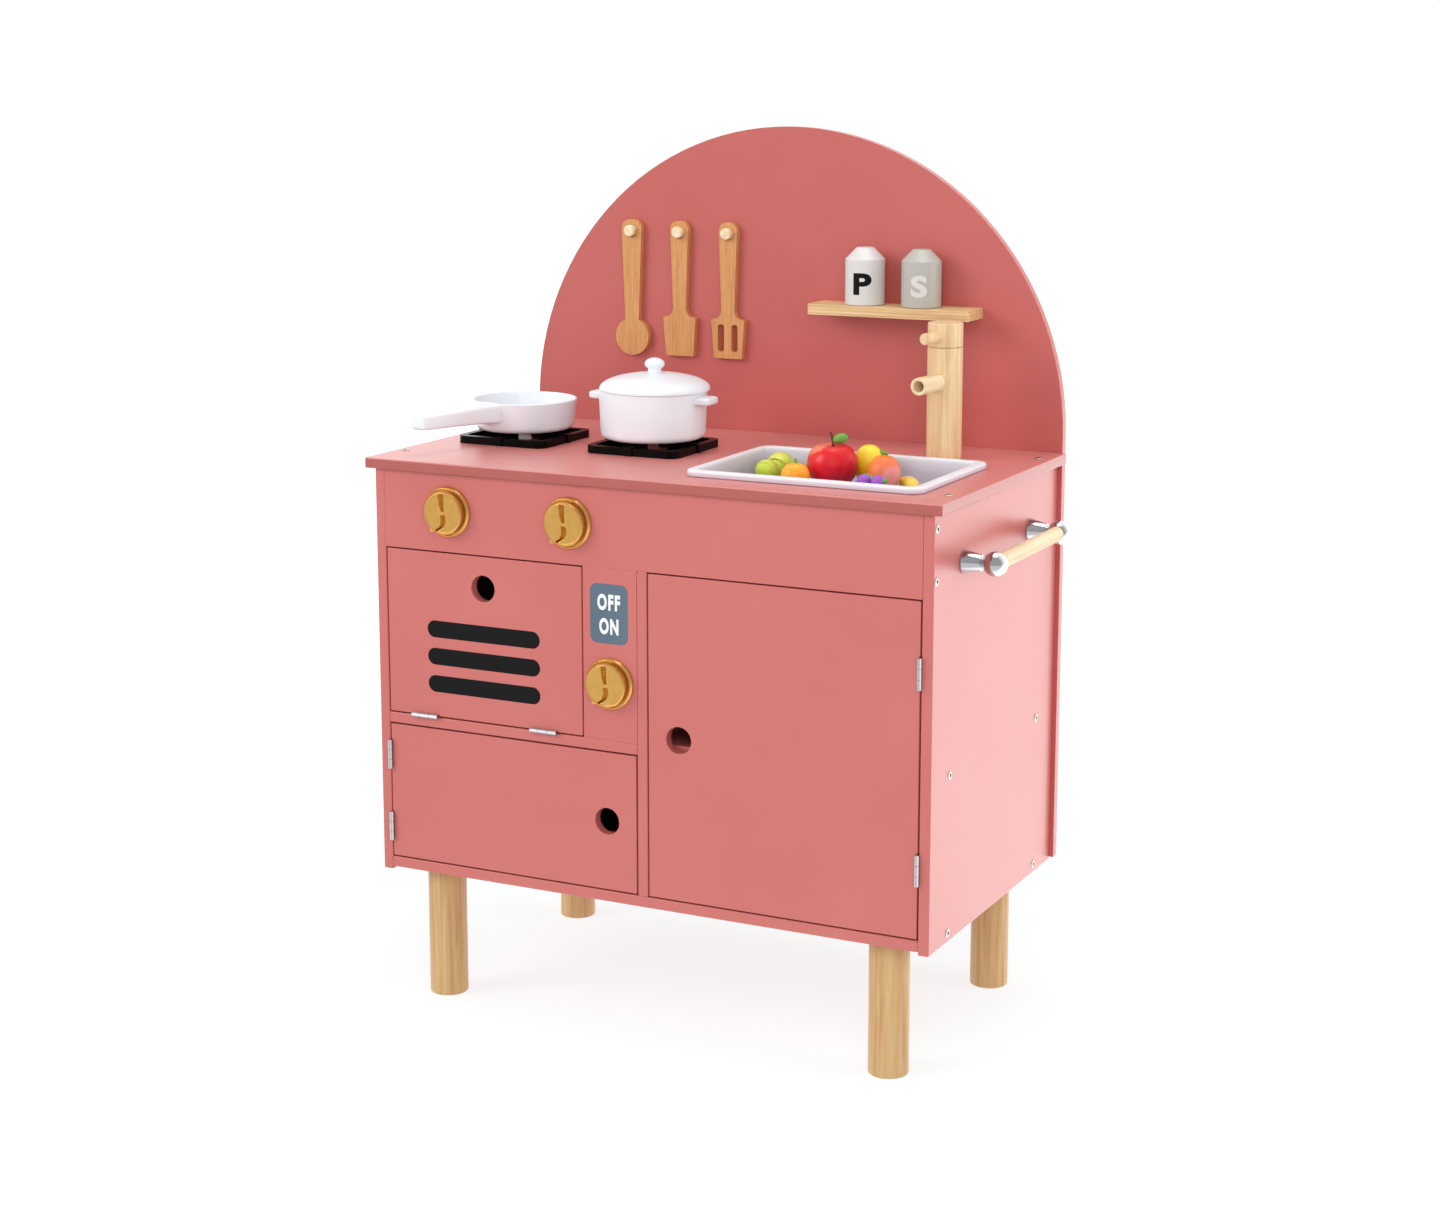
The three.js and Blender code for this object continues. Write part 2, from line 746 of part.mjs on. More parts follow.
// A knob with its axis along Z: flange, groove, raised dial with two scoops and a spindle.
function knobGeometry() {
  const flange = knobFlangeDiameter / 2;
  const lip = knobDialDiameter / 2 + knobGrooveWidth;
  const dial = knobDialDiameter / 2;
  const rounding = knobDialChamfer / 2;
  const body = turned(
    [
      [0, 0],
      [flange, 0],
      [flange, knobFlangeHeight - rounding],
      [flange - rounding, knobFlangeHeight],
      [lip, knobFlangeHeight],
      [lip - rounding, knobGrooveFloor],
      [dial, knobGrooveFloor],
      [dial, knobDialHeight - knobDialChamfer],
      [dial - knobDialChamfer, knobDialHeight],
      [0, knobDialHeight],
    ],
    24,
  );
  const pocket = new THREE.ExtrudeGeometry(scoopOutline(), {
    depth: knobDialHeight,
    bevelEnabled: false,
    curveSegments: 5,
  });
  pocket.rotateY(-Math.atan2(knobScoopDepth, knobScoopRadius));
  pocket.translate(0, 0, knobDialHeight - knobScoopDepth);
  const otherPocket = pocket.clone().rotateZ(Math.PI);
  const spindle = rod(knobSpindleDiameter, -board - knobSeatGap, overrun, 12);
  return joined(cut(body, pocket, otherPocket), spindle);
}

function addKnobs() {
  const geometry = knobGeometry();
  const places = [
    ["left_hob_knob", hobKnobX - hobKnobSpacing / 2, hobKnobHeight],
    ["right_hob_knob", hobKnobX + hobKnobSpacing / 2, hobKnobHeight],
    ["oven_knob", controlPanelCentre, ovenKnobHeight],
  ];
  for (const [name, x, z] of places) {
    const knob = place(name, geometry, goldPlastic, x, frontFace - knobSeatGap, z);
    knob.rotation.x = Math.PI / 2;
  }
}

// Two turned posts, each a cone with a ball that holds one end of the dowel.
function addTowelRail() {
  const ball = railBallDiameter / 2;
  const steps = 7;
  const neckRadius = railNeckDiameter / 2;
  const profile = [
    [0, 0],
    [railBaseDiameter / 2, 0],
    [neckRadius, railConeLength],
  ];
  const startAngle = Math.PI - Math.asin((neckRadius * railBallNeckShare) / ball);
  for (let step = 0; step < steps; step++) {
    const angle = (startAngle * (steps - step)) / steps;
    profile.push([ball * Math.sin(angle), railBallReach + ball * Math.cos(angle)]);
  }
  profile.push([0, railBallReach + ball]);
  const post = turned(profile, 16).rotateY(Math.PI / 2);
  const socketDiameter = railDowelDiameter + 2 * railSocketClearance;
  const half = (railRearY - railFrontY) / 2;
  const mouth = ball - railSocketDepth;
  for (const [name, y, side] of [["front", railFrontY, 1], ["rear", railRearY, -1]]) {
    const socket = rod(socketDiameter, mouth, railBallDiameter, 20);
    socket.rotateX((-side * Math.PI) / 2).translate(railBallReach, 0, 0);
    place(`rail_${name}_post`, cut(post, socket), chrome, sideOuterX, y, railHeight);
  }
  const dowelEnd = half - mouth - railSocketClearance;
  const dowel = place("rail_dowel", rod(railDowelDiameter, -dowelEnd, dowelEnd, 20), beech);
  dowel.rotation.x = Math.PI / 2;
  dowel.position.set(sideOuterX + railBallReach, (railFrontY + railRearY) / 2, railHeight);
}

// A low square frame with four prongs that rise towards the middle and carry the cookware.
function addGrates() {
  const outline = roundedOutline(grateSize, grateSize, grateCorner);
  const window = grateSize - 2 * grateBar;
  outline.holes.push(roundedOutline(window, window, grateCorner - grateBar / 2, THREE.Path));
  const ring = new THREE.ExtrudeGeometry(outline, {
    depth: grateHeight,
    bevelEnabled: false,
    curveSegments: 4,
  });
  const side = new THREE.Shape();
  side.moveTo(prongInnerRadius, 0).lineTo(grateSize / 2 + prongProud, 0);
  side.lineTo(grateSize / 2 + prongProud, prongOuterHeight);
  side.lineTo(grateSize / 2 - grateBar, prongOuterHeight);
  side.lineTo(grateSize / 2 - 2 * grateBar, prongTopHeight);
  side.lineTo(prongInnerRadius, prongTopHeight).closePath();
  const prongs = [0, 1, 2, 3].map((number) => {
    const prong = uprightPanel(side, -prongWidth / 2, prongWidth / 2);
    return prong.rotateZ((number * Math.PI) / 2);
  });
  const grate = joined(ring, ...prongs);
  place("left_grate", grate, blackPlastic, leftGrateX, grateY, worktopTop);
  place("right_grate", grate, blackPlastic, rightGrateX, grateY, worktopTop);
}

// The half profile of an open vessel, from the foot's centre up the outside and back inside.
function vesselProfile(footDiameter, rimDiameter, height, wall) {
  const foot = footDiameter / 2;
  const rim = rimDiameter / 2;
  const edge = wall / 2;
  const bend = Math.SQRT1_2;
  return [
    [0, 0],
    [foot - footRounding, 0],
    [foot - footRounding * (1 - bend), footRounding * (1 - bend)],
    [foot, footRounding],
    [rim, height - edge],
    [rim - edge / 2, height],
    [rim - wall + edge / 2, height],
    [rim - wall, height - edge],
    [foot - wall, footRounding + wall / 2],
    [foot - wall - footRounding / 2, wall],
    [0, wall],
  ];
}

const cookwareFoot = worktopTop + prongTopHeight + cookwareGap;

function addPan() {
  const vessel = turned(vesselProfile(panFootDiameter, panDiameter, panHeight, panWall), 24);
  const rim = panDiameter / 2;
  const start = rim - panWall;
  const flare = panHandleRootWidth;
  const plan = new THREE.Shape();
  plan.moveTo(-panHandleRootWidth / 2, -start);
  const bend = -rim - flare * panFlareShare;
  plan.quadraticCurveTo(-panHandleWidth / 2, bend, -panHandleWidth / 2, -rim - flare);
  plan.lineTo(-panHandleWidth / 2, -panHandleReach).lineTo(panHandleWidth / 2, -panHandleReach);
  plan.lineTo(panHandleWidth / 2, -rim - flare);
  plan.quadraticCurveTo(panHandleWidth / 2, bend, panHandleRootWidth / 2, -start);
  plan.closePath();
  const handle = new THREE.ExtrudeGeometry(plan, {
    depth: panHandleHeight,
    bevelEnabled: false,
    curveSegments: 4,
  });
  handle.translate(0, 0, panHeight - panHandleHeight - panHandleDrop);
  const hollow = turned(
    [
      [0, panWall],
      [panFootDiameter / 2 - panWall, panWall],
      [rim - panWall, panHeight + overrun],
      [0, panHeight + overrun],
    ],
    24,
  );
  const pan = joined(vessel, cut(handle, hollow));
  const mesh = place("pan", pan, whitePlastic, leftGrateX, grateY, cookwareFoot);
  mesh.rotation.z = THREE.MathUtils.degToRad(-panHandleTilt);
}

// A pot with two tab handles.
function addPot() {
  const vessel = turned(vesselProfile(potFootDiameter, potDiameter, potHeight, potWall), 24);
  const plan = roundedOutline(2 * potHandleReach, potHandleWidth, potHandleCorner);
  const tabs = new THREE.ExtrudeGeometry(plan, {
    depth: potHandleThickness,
    bevelEnabled: false,
    curveSegments: 5,
  });
  tabs.translate(0, 0, potHeight - potHandleDrop - potHandleThickness);
  const hollow = rod(potDiameter - potWall, 0, potHeight, 24);
  const pot = joined(vessel, cut(tabs, hollow));
  place("pot", pot, whitePlastic, rightGrateX, grateY, cookwareFoot);
}

// A domed lid with a spigot inside the pot's rim and a round knob on a short neck.
function addPotLid() {
  const steps = 4;
  const rim = potDiameter / 2 + lidOverhang;
  const edge = lidWall / 2;
  const neck = lidKnobNeckDiameter / 2;
  const cap = lidKnobDiameter / 2;
  const spigot = potDiameter / 2 - potWall - lidSpigotClearance;
  const dome = (radius, height, share) => [
    radius * Math.cos((share * Math.PI) / 2),
    height * Math.sin((share * Math.PI) / 2),
  ];
  const top = lidDomeHeight + lidKnobHeight;
  const profile = [];
  for (let step = 0; step <= steps; step++)
    profile.unshift(dome(spigot - lidWall, lidDomeHeight - lidWall, step / steps));
  profile[0][0] = 0;
  profile.push([spigot - lidWall, -lidSpigotDepth], [spigot, -lidSpigotDepth], [spigot, 0]);
  profile.push([rim - edge / 2, 0], [rim, edge / 2], [rim, edge]);
  for (let step = 1; step < steps; step++) {
    const [radius, height] = dome(rim, lidDomeHeight - edge, step / steps);
    profile.push([radius, edge + height]);
  }
  profile.push([neck, lidDomeHeight]);
  profile.push([neck, lidDomeHeight + lidKnobHeight * lidKnobNeckShare]);
  for (const [widthShare, heightShare] of lidKnobShares)
    profile.push([cap * widthShare, lidDomeHeight + lidKnobHeight * heightShare]);
  profile.push([0, top]);
  const z = cookwareFoot + potHeight + cookwareGap;
  place("pot_lid", turned(profile, 22), whitePlastic, rightGrateX + lidShift, grateY, z);
}

// A ring of points round a rectangle with rounded corners, at one height.
function roundedRing(width, length, radius, z) {
  const points = roundedOutline(width, length, radius).getPoints(cornerSteps);
  const first = points[0];
  const ring = points.filter((point, number) => !number || point.distanceTo(first) > minimumStep);
  return ring
    .filter((point, number) => !number || point.distanceTo(ring[number - 1]) > minimumStep)
    .map((point) => new THREE.Vector3(point.x, point.y, z));
}

// A rectangular basin: its rim lies on the worktop and its body hangs in the cut-out.
function addSinkBasin() {
  const floor = basinRimHeight - basinDepth;
  const opening = [basinWidth - 2 * basinRimWidth, basinLength - 2 * basinRimWidth];
  const outerCorner = basinInnerCorner + basinWall;
  const edge = basinRimEdge;
  const ring = (inset, corner, z) =>
    roundedRing(opening[0] - 2 * inset, opening[1] - 2 * inset, corner, z);
  const rimInset = -basinRimWidth;
  const rings = [
    ring(basinDraft + basinFloorRounding / 2 - basinWall, outerCorner, floor - basinWall),
    ring(basinDraft - basinWall, outerCorner, floor + basinFloorRounding - basinWall),
    ring(-basinWall, outerCorner, 0),
    ring(rimInset, basinCorner, 0),
    ring(rimInset, basinCorner, basinRimHeight - 2 * edge),
    ring(rimInset + edge, basinCorner, basinRimHeight - edge / 2),
    ring(rimInset + 3 * edge, basinCorner, basinRimHeight),
    ring(-2 * edge, basinInnerCorner, basinRimHeight),
    ring(0, basinInnerCorner, basinRimHeight - edge),
    ring(basinDraft, basinInnerCorner, floor + basinFloorRounding),
    ring(basinDraft + basinFloorRounding / 2, basinInnerCorner, floor + basinFloorRounding / 4),
    ring(basinDraft + basinFloorRounding, basinInnerCorner, floor),
  ];
  const z = worktopTop + basinSeatGap;
  place("sink_basin", lofted(rings), whitePlastic, basinCentreX, basinCentreY, z);
}

// A turned post that swivels on its spigot, with a spout set in it and a head that turns on it.
function addFaucet() {
  const faucet = new THREE.Group();
  faucet.position.set(faucetX, faucetY, worktopTop + faucetSeatGap);
  faucet.rotation.z = THREE.MathUtils.degToRad(-faucetTurn);
  kitchen.add(faucet);

  const radius = faucetRadius;
  const spigot = faucetSpigotDiameter / 2;
  const post = turned(
    [
      [0, -faucetSpigotLength],
      [spigot, -faucetSpigotLength],
      [spigot, 0],
      [radius - faucetEdge, 0],
      [radius, faucetEdge],
      [radius, faucetPostHeight - faucetEdge],
      [radius - faucetEdge, faucetPostHeight],
      [0, faucetPostHeight],
    ],
    20,
  );
  const forwards = (geometry) => geometry.rotateX(Math.PI / 2).translate(0, 0, spoutHeight);
  const socket = spoutDiameter + 2 * faucetSpigotClearance;
  const socketStart = radius - spoutRoot;
  const socketHole = forwards(rod(socket, socketStart, faucetDiameter, 20));
  const pinHole = rod(
    faucetPinDiameter + 2 * faucetSpigotClearance,
    faucetPostHeight - faucetPinLength - faucetSeatGap,
    faucetPostHeight + overrun,
    16,
  );
  place("faucet_post", cut(post, socketHole, pinHole), beech, 0, 0, 0, faucet);

  const spout = cut(
    rod(spoutDiameter, socketStart + faucetSeatGap, spoutReach, 24),
    rod(spoutBore, spoutReach - spoutBoreDepth, spoutReach + overrun, 20),
  );
  place("faucet_spout", forwards(spout), beech, 0, 0, 0, faucet);

  const head = turned(
    [
      [0, -faucetPinLength],
      [faucetPinDiameter / 2, -faucetPinLength],
      [faucetPinDiameter / 2, 0],
      [radius - faucetEdge, 0],
      [radius, faucetEdge],
      [radius, faucetHeadHeight - faucetEdge],
      [radius - faucetEdge, faucetHeadHeight],
      [0, faucetHeadHeight],
    ],
    20,
  );
  const lever = rod(leverDiameter, 0, leverReach, 16);
  lever.rotateX(Math.PI / 2).translate(0, 0, leverRise);
  const headZ = faucetPostHeight + faucetSeatGap;
  place("faucet_head", joined(head, lever), beech, 0, 0, headZ, faucet);
}

// Half of a utensil's outline as [half width, height below the peg] points, from the top down,
// mirrored into a whole outline with the peg's hole near its top.
function utensilShape(half) {
  const shape = new THREE.Shape();
  half.forEach(([x, drop], number) =>
    number ? shape.lineTo(-x, -drop) : shape.moveTo(-x, -drop),
  );
  [...half].reverse().forEach(([x, drop]) => x && shape.lineTo(x, -drop));
  shape.closePath();
  shape.holes.push(circle(0, 0, pegDiameter + 2 * utensilHoleClearance));
  return shape;
}

// The handle's rounded top and its taper down to the waist.
function handleEdge(topWidth, waistWidth, waistDrop) {
  const top = handleTopShares.map(([widthShare, reachShare]) => [
    (topWidth / 2) * widthShare,
    -utensilTopReach * reachShare,
  ]);
  return [...top, [waistWidth / 2, waistDrop]];
}

function turnerEdge(topWidth, waistWidth, bladeWidth, bladeEnd) {
  const end = utensilTotalLength - utensilTopReach - turnerShortfall;
  const shoulder = end - turnerBladeLength;
  const waist = waistWidth / 2;
  const blade = bladeWidth / 2;
  const start = shoulder - turnerShoulder;
  const curve = turnerShoulderShares.map(([widthShare, lengthShare]) => [
    waist + (blade - waist) * widthShare,
    start + turnerShoulder * lengthShare,
  ]);
  return [...handleEdge(topWidth, waistWidth, start), ...curve, [bladeEnd / 2, end]];
}

function addUtensils() {
  const y = worktopDepth - utensilGap;
  const bowl = spoonBowlDiameter / 2;
  const bowlDrop = utensilTotalLength - utensilTopReach - bowl;
  const spoonEdge = handleEdge(spoonTopWidth, spoonWaistWidth, bowlDrop - bowl);
  const startAngle = Math.asin(spoonWaistWidth / 2 / bowl);
  const steps = 12;
  for (let step = 0; step < steps; step++) {
    const angle = startAngle + ((Math.PI - startAngle) * step) / steps;
    spoonEdge.push([bowl * Math.sin(angle), bowlDrop - bowl * Math.cos(angle)]);
  }
  spoonEdge.push([0, bowlDrop + bowl]);

  const slotted = utensilShape(
    turnerEdge(turnerTopWidth, turnerWaistWidth, turnerBladeWidth, turnerEndWidth),
  );
  for (const side of [-1, 1]) {
    const slot = roundedOutline(turnerSlotWidth, turnerSlotLength, turnerSlotCorner);
    const drop = utensilTotalLength - utensilTopReach - turnerSlotDrop;
    const move = new THREE.Vector2(side * turnerSlotOffset, -drop);
    slotted.holes.push(new THREE.Path(slot.getPoints(3).map((point) => point.add(move))));
  }
  const shapes = {
    spoon: utensilShape(spoonEdge),
    turner: utensilShape(
      turnerEdge(turnerTopWidth, turnerWaistWidth, turnerBladeWidth, turnerEndWidth),
    ),
    slotted_turner: slotted,
  };
  Object.entries(shapes).forEach(([name, shape], number) => {
    const geometry = uprightPanel(shape, -utensilThickness, 0, 10);
    const x = middlePegX + (number - 1) * pegSpacing;
    place(name, geometry, oiledBeech, x, y, pegHeight - utensilHang);
  });
}

function addShakers() {
  const radius = shakerDiameter / 2;
  const edge = shakerEdge;
  const top = shakerTopDiameter / 2;
  const profile = [
    [0, 0],
    [radius - edge, 0],
    [radius, edge],
    [radius, shakerShoulderHeight - edge],
    [radius - edge, shakerShoulderHeight],
    [top, shakerHeight - edge / 2],
    [top - edge, shakerHeight],
    [0, shakerHeight],
  ];
  const y = worktopDepth - spiceShelfDepth / 2;
  const z = spiceShelfTop + fruitGap;
  const left = shakerCentreX - shakerSpacing / 2;
  place("pepper_shaker", turned(profile, 20), whitePlastic, left, y, z);
  place("salt_shaker", turned(profile, 20), greyPlastic, left + shakerSpacing, y, z);
}

// A closed round fruit about Z, whose ends may be dimpled, with its lowest point at zero.
function roundFruit(diameter, height, topDimple, bottomDimple, sides = 16, steps = 8) {
  const profile = [];
  for (let step = 0; step <= steps; step++) {
    const angle = (Math.PI * step) / steps;
    const dimple = angle < Math.PI / 2 ? bottomDimple : -topDimple;
    const near = Math.max(0, Math.abs(Math.cos(angle)) - dimpleStartShare) / (1 - dimpleStartShare);
    const z = (-height / 2) * Math.cos(angle) + dimple * near;
    profile.push([(diameter / 2) * Math.sin(angle), z]);
  }
  profile[0][0] = 0;
  profile[steps][0] = 0;
  const geometry = turned(profile, sides);
  geometry.computeBoundingBox();
  return geometry.translate(0, 0, -geometry.boundingBox.min.z);
}

// A small stem that leans a little, standing on a fruit.
function stem(diameter, length, base, lean) {
  const geometry = rod(diameter, -length / 2, length, 8);
  return geometry.rotateY(lean).translate(0, 0, base);
}

// The fruit's group: its origin is in the middle of the basin's floor.
const fruitFloor = worktopTop + basinSeatGap + basinRimHeight - basinDepth + fruitGap;
const fruitGroup = new THREE.Group();
fruitGroup.position.set(basinCentreX, basinCentreY, fruitFloor);
kitchen.add(fruitGroup);

function placeFruit(name, geometry, material, x, y, z = 0) {
  place(name, geometry, material, x, y, z, fruitGroup);
}

function addRoundFruit() {
  const apple = roundFruit(appleDiameter, appleHeight, appleDimple, appleDimple / 2, 16, 8);
  const appleTop = appleHeight - appleDimple;
  const leaf = new THREE.SphereGeometry(appleLeafLength / 2, 8, 5);
  leaf.scale(1, appleLeafShare, appleLeafShare).translate(appleLeafLength / 2, 0, 0);
  leaf.translate(-appleStemDiameter / 2, 0, appleTop + appleStemLength * appleLeafHeightShare);
  const appleStem = stem(appleStemDiameter, appleStemLength, appleTop, appleStemLean);
  placeFruit("apple", joined(apple, appleStem, leaf), appleRed, appleX, appleY);

  const orange = roundFruit(orangeDiameter, orangeDiameter, fruitDimple, 0);
  const smallStem = (top) =>
    stem(fruitStemDiameter, fruitStemLength, top - fruitDimple, fruitStemLean);
  const wholeOrange = joined(orange, smallStem(orangeDiameter));
  placeFruit("orange", wholeOrange, orangeYellow, orangeX, orangeY);

  const lemon = roundFruit(lemonDiameter, lemonLength, fruitDimple, 0);
  placeFruit("lemon", joined(lemon, smallStem(lemonLength)), lemonYellow, lemonX, lemonY);

  const peach = roundFruit(peachDiameter, peachDiameter, fruitDimple, 0);
  placeFruit("peach", peach, peachPink, peachX, peachY);
}

// A pear that lies down: a large lobe and a smaller one, blended into one turned body.
function addPear() {
  const big = pearDiameter / 2;
  const small = pearNeckDiameter / 2;
  const steps = 7;
  const profile = [];
  for (let step = 0; step <= steps; step++) {
    const angle = (step / steps) * Math.PI * pearLobeShare;
    profile.push([big * Math.sin(angle), -big * Math.cos(angle)]);
  }
  profile[0][0] = 0;
  profile.push([pearWaistDiameter / 2, pearLobeSpacing / 2]);
  for (let step = 0; step <= steps; step++) {
    const angle = (1 - pearLobeShare + (pearLobeShare * step) / steps) * Math.PI;
    profile.push([small * Math.sin(angle), pearLobeSpacing - small * Math.cos(angle)]);
  }
  profile[profile.length - 1][0] = 0;
  const geometry = turned(profile, 14).rotateX(Math.PI / 2 - pearDip).rotateZ(pearTurn);
  geometry.computeBoundingBox();
  placeFruit("pear", geometry, pearGreen, pearX, pearY, -geometry.boundingBox.min.z);
}

// A bunch of grapes in two layers, each grape touching its neighbours.
function addGrapes() {
  const radius = grapeDiameter / 2;
  const pitch = grapeDiameter * grapePitchShare;
  const rise = pitch * grapeRiseShare;
  const balls = [];
  const grape = (x, y, z) => {
    const ball = new THREE.SphereGeometry(radius, 8, 5);
    balls.push(ball.translate(x, y, z));
  };
  for (const [row, count] of [[-1, 2], [0, 3], [1, 2]])
    for (let number = 0; number < count; number++)
      grape((number - (count - 1) / 2) * pitch, row * pitch * grapeRowShare, radius);
  for (const [xShare, yShare] of topGrapeShares)
    grape(xShare * pitch, yShare * pitch, radius + rise);
  placeFruit("grapes", joined(...balls), grapePurple, grapesX, grapesY);
}

// A bent tube with tapering ends.
function addBanana() {
  const steps = 10;
  const sides = 12;
  const rings = [];
  for (let step = 0; step <= steps; step++) {
    const share = step / steps;
    const along = (share - 0.5) * bananaLength;
    const bend = bananaBend * (1 - (2 * share - 1) ** 2);
    const slope = Math.atan2((-4 * bananaBend * (2 * share - 1)) / 2, bananaLength / 2);
    const fullness = Math.sin(share * Math.PI) ** bananaTaperShare;
    const radius = (bananaDiameter / 2) * (bananaTipShare + (1 - bananaTipShare) * fullness);
    const ring = [];
    for (let side = 0; side < sides; side++) {
      const angle = (2 * Math.PI * side) / sides;
      const out = radius * Math.cos(angle);
      const x = along - out * Math.sin(slope);
      const y = bend + out * Math.cos(slope);
      ring.push(new THREE.Vector3(x, y, radius * Math.sin(angle)));
    }
    rings.push(ring);
  }
  const geometry = lofted(rings).rotateZ(bananaTurn);
  placeFruit("banana", geometry, bananaYellow, bananaX, bananaY, bananaDiameter / 2);
}

// Makes the fruit and its places smaller if they would reach past the basin's walls.
function fitFruit() {
  const reach = new THREE.Box3().setFromObject(fruitGroup, true);
  reach.translate(fruitGroup.position.clone().negate());
  const furthest = (axis) => Math.max(reach.max[axis], -reach.min[axis]) + fruitGap;
  const wall = basinRimWidth + basinDraft;
  const widthShare = (basinWidth / 2 - wall) / furthest("x");
  const lengthShare = (basinLength / 2 - wall) / furthest("y");
  fruitGroup.scale.setScalar(Math.min(1, widthShare, lengthShare));
}

addCarcass();
addFascia();
addWorktop();
addBackboard();
addSpiceShelf();
addLegs();
addDoors();
addKnobs();
addTowelRail();
addGrates();
addPan();
addPot();
addPotLid();
addSinkBasin();
addFaucet();
addUtensils();
addShakers();
addRoundFruit();
addPear();
addGrapes();
addBanana();
fitFruit();

const bounds = new THREE.Box3().setFromObject(kitchen, true);
const middle = bounds.getCenter(new THREE.Vector3());
kitchen.position.set(-middle.x, -middle.y, -bounds.min.z);

export default kitchen;
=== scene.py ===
"""A wooden toy kitchen: painted cabinet, half-round backboard, hob, sink, faucet and play food.

The boards, hinges, grates and utensils keep their CAD meshes. What is turned or moulded is made
here as surfaces worked out with numpy. Shapes are written in millimetres from the middle of the
worktop's front edge at floor level, as the kitchen was drawn, and then put in the row's frame.
"""

import math  # noqa: E402

import bmesh  # noqa: E402
import bpy  # noqa: E402
import numpy as np  # noqa: E402
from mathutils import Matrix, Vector  # noqa: E402


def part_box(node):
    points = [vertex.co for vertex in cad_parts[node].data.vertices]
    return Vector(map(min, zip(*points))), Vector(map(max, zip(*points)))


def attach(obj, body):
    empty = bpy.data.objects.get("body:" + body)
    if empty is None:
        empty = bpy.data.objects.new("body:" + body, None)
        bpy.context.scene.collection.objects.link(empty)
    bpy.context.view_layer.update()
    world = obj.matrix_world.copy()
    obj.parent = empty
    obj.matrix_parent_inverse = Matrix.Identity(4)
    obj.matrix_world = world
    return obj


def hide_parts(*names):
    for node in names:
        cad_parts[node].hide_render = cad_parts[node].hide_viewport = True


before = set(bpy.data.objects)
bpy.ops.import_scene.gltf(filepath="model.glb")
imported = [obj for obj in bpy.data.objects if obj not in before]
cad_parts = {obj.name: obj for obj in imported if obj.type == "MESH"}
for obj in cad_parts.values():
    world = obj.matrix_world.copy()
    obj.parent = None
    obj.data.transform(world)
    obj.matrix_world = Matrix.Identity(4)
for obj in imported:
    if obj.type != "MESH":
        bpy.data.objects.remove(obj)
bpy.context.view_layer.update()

MM = 0.001
worktop_low, worktop_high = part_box("worktop")
DRAWING_ORIGIN = np.array([(worktop_low.x + worktop_high.x) / 2, worktop_low.y, 0.0])
WORKTOP = worktop_high.z / MM

# Sizes in millimetres

SEAT_GAP = 0.3  # under the faucet, its head, the basin's rim and the pot's lid

# How far edges are eased, and the angle in degrees from which an edge counts as one
BOARD_EDGE = 1.1
DOOR_EDGE = 0.7
BACKBOARD_EDGE = 0.7
SHELF_EDGE = 0.9
UTENSIL_EDGE = 1.1
GRATE_EDGE = 1.0
SHARP_ANGLE = 35

SHELF_PLIES = 3
HOB_Y = 170.0  # the line on which the pan and the pot stand
PAN_X = -221.0
PAN_TURN = -12.4  # degrees
POT_X = -74.0

FAUCET_RADIUS = 17.0
FAUCET_TURN = -5.7  # degrees
SPOUT_RISE = 75  # above the post's foot
LEVER_RISE = 10.5  # above the seam under the head

RAIL_POSTS = (("rail_front_post", 76.0), ("rail_rear_post", 248.0))
RAIL_BALL_RADIUS = 11.4
RAIL_BALL_REACH = 30  # from the post's foot to the ball's middle

SHAKER_WALL = 45.2  # the height at which the shoulder begins
SHAKER_CROWN_RADIUS = 8.5
LETTER_HEIGHT = 21.5
LETTER_MIDDLE = 21.5  # above the shaker's foot
LETTER_STRETCH = 1.3
LETTER_TURN = 0.26  # radians from straight ahead
LETTER_PROUD = 0.12

KNOB_FLANGE_RADIUS = 24.8
KNOB_DIAL_RADIUS = 21.0
KNOB_HEIGHT = 11.0
KNOB_SPINDLE_RADIUS = 4
KNOB_SPINDLE_END = -10.6  # behind the knob's back
KNOB_BACK_Y = 4.4  # just in front of the boards that carry the knobs, which face y = 4.7

GRILLE_BARS = (380, 352.9, 325.7)  # heights of the bars' middles
GRILLE_BAR = (125.6, 16.6, 8.25)  # width, height and corner radius
GRILLE_X = -171.6
LABEL = (40.1, 57, 7.5)  # width, height and corner radius
LABEL_X = -33.6
LABEL_Z = 413.5
LABEL_WORDS = (("OFF", 424.5), ("ON", 401.6))  # with the heights of their middles
LABEL_LETTERS = 15.6  # the height of a capital
LABEL_STRETCH = 0.62
PRINT_PROUD = 0.15

SCREW_RADIUS = 4.3
SCREW_HEIGHT = 0.9
# X and Y on the worktop, and Y and Z on the right side
TOP_SCREWS = ((-290.0, 56.0), (286.0, 50.0), (286.0, 284.0))
SIDE_SCREWS = ((11, 520), (11, 473), (50, 288), (278, 288), (50, 139), (278, 139))

# Sizes of the materials' patterns in millimetres. Those marked are finer on the real thing, and
# are drawn so coarse that they show.

PAINT_CLOUD = 1000 / 9
PAINT_DROPLET = 10 / 9  # drawn coarser
PORE_WIDTH = 5 / 11  # drawn coarser
PORE_LENGTH = 100 / 7  # drawn coarser
PLASTIC_FLOW = 1000 / 22
PLASTIC_GRAIN = 2 / 3  # drawn coarser
METAL_WIPE = 6.25
FRUIT_BLOTCH = 100 / 7
BAND_WIDTH_TO_LENGTH = 0.045  # of the wood's growth bands
WIPED_TONE = 0.93  # a metal's dimmest tone over its brightest

# The studio. A strength of 1 is white. A lamp has a place, a target and a size in metres, and a
# power in watts.

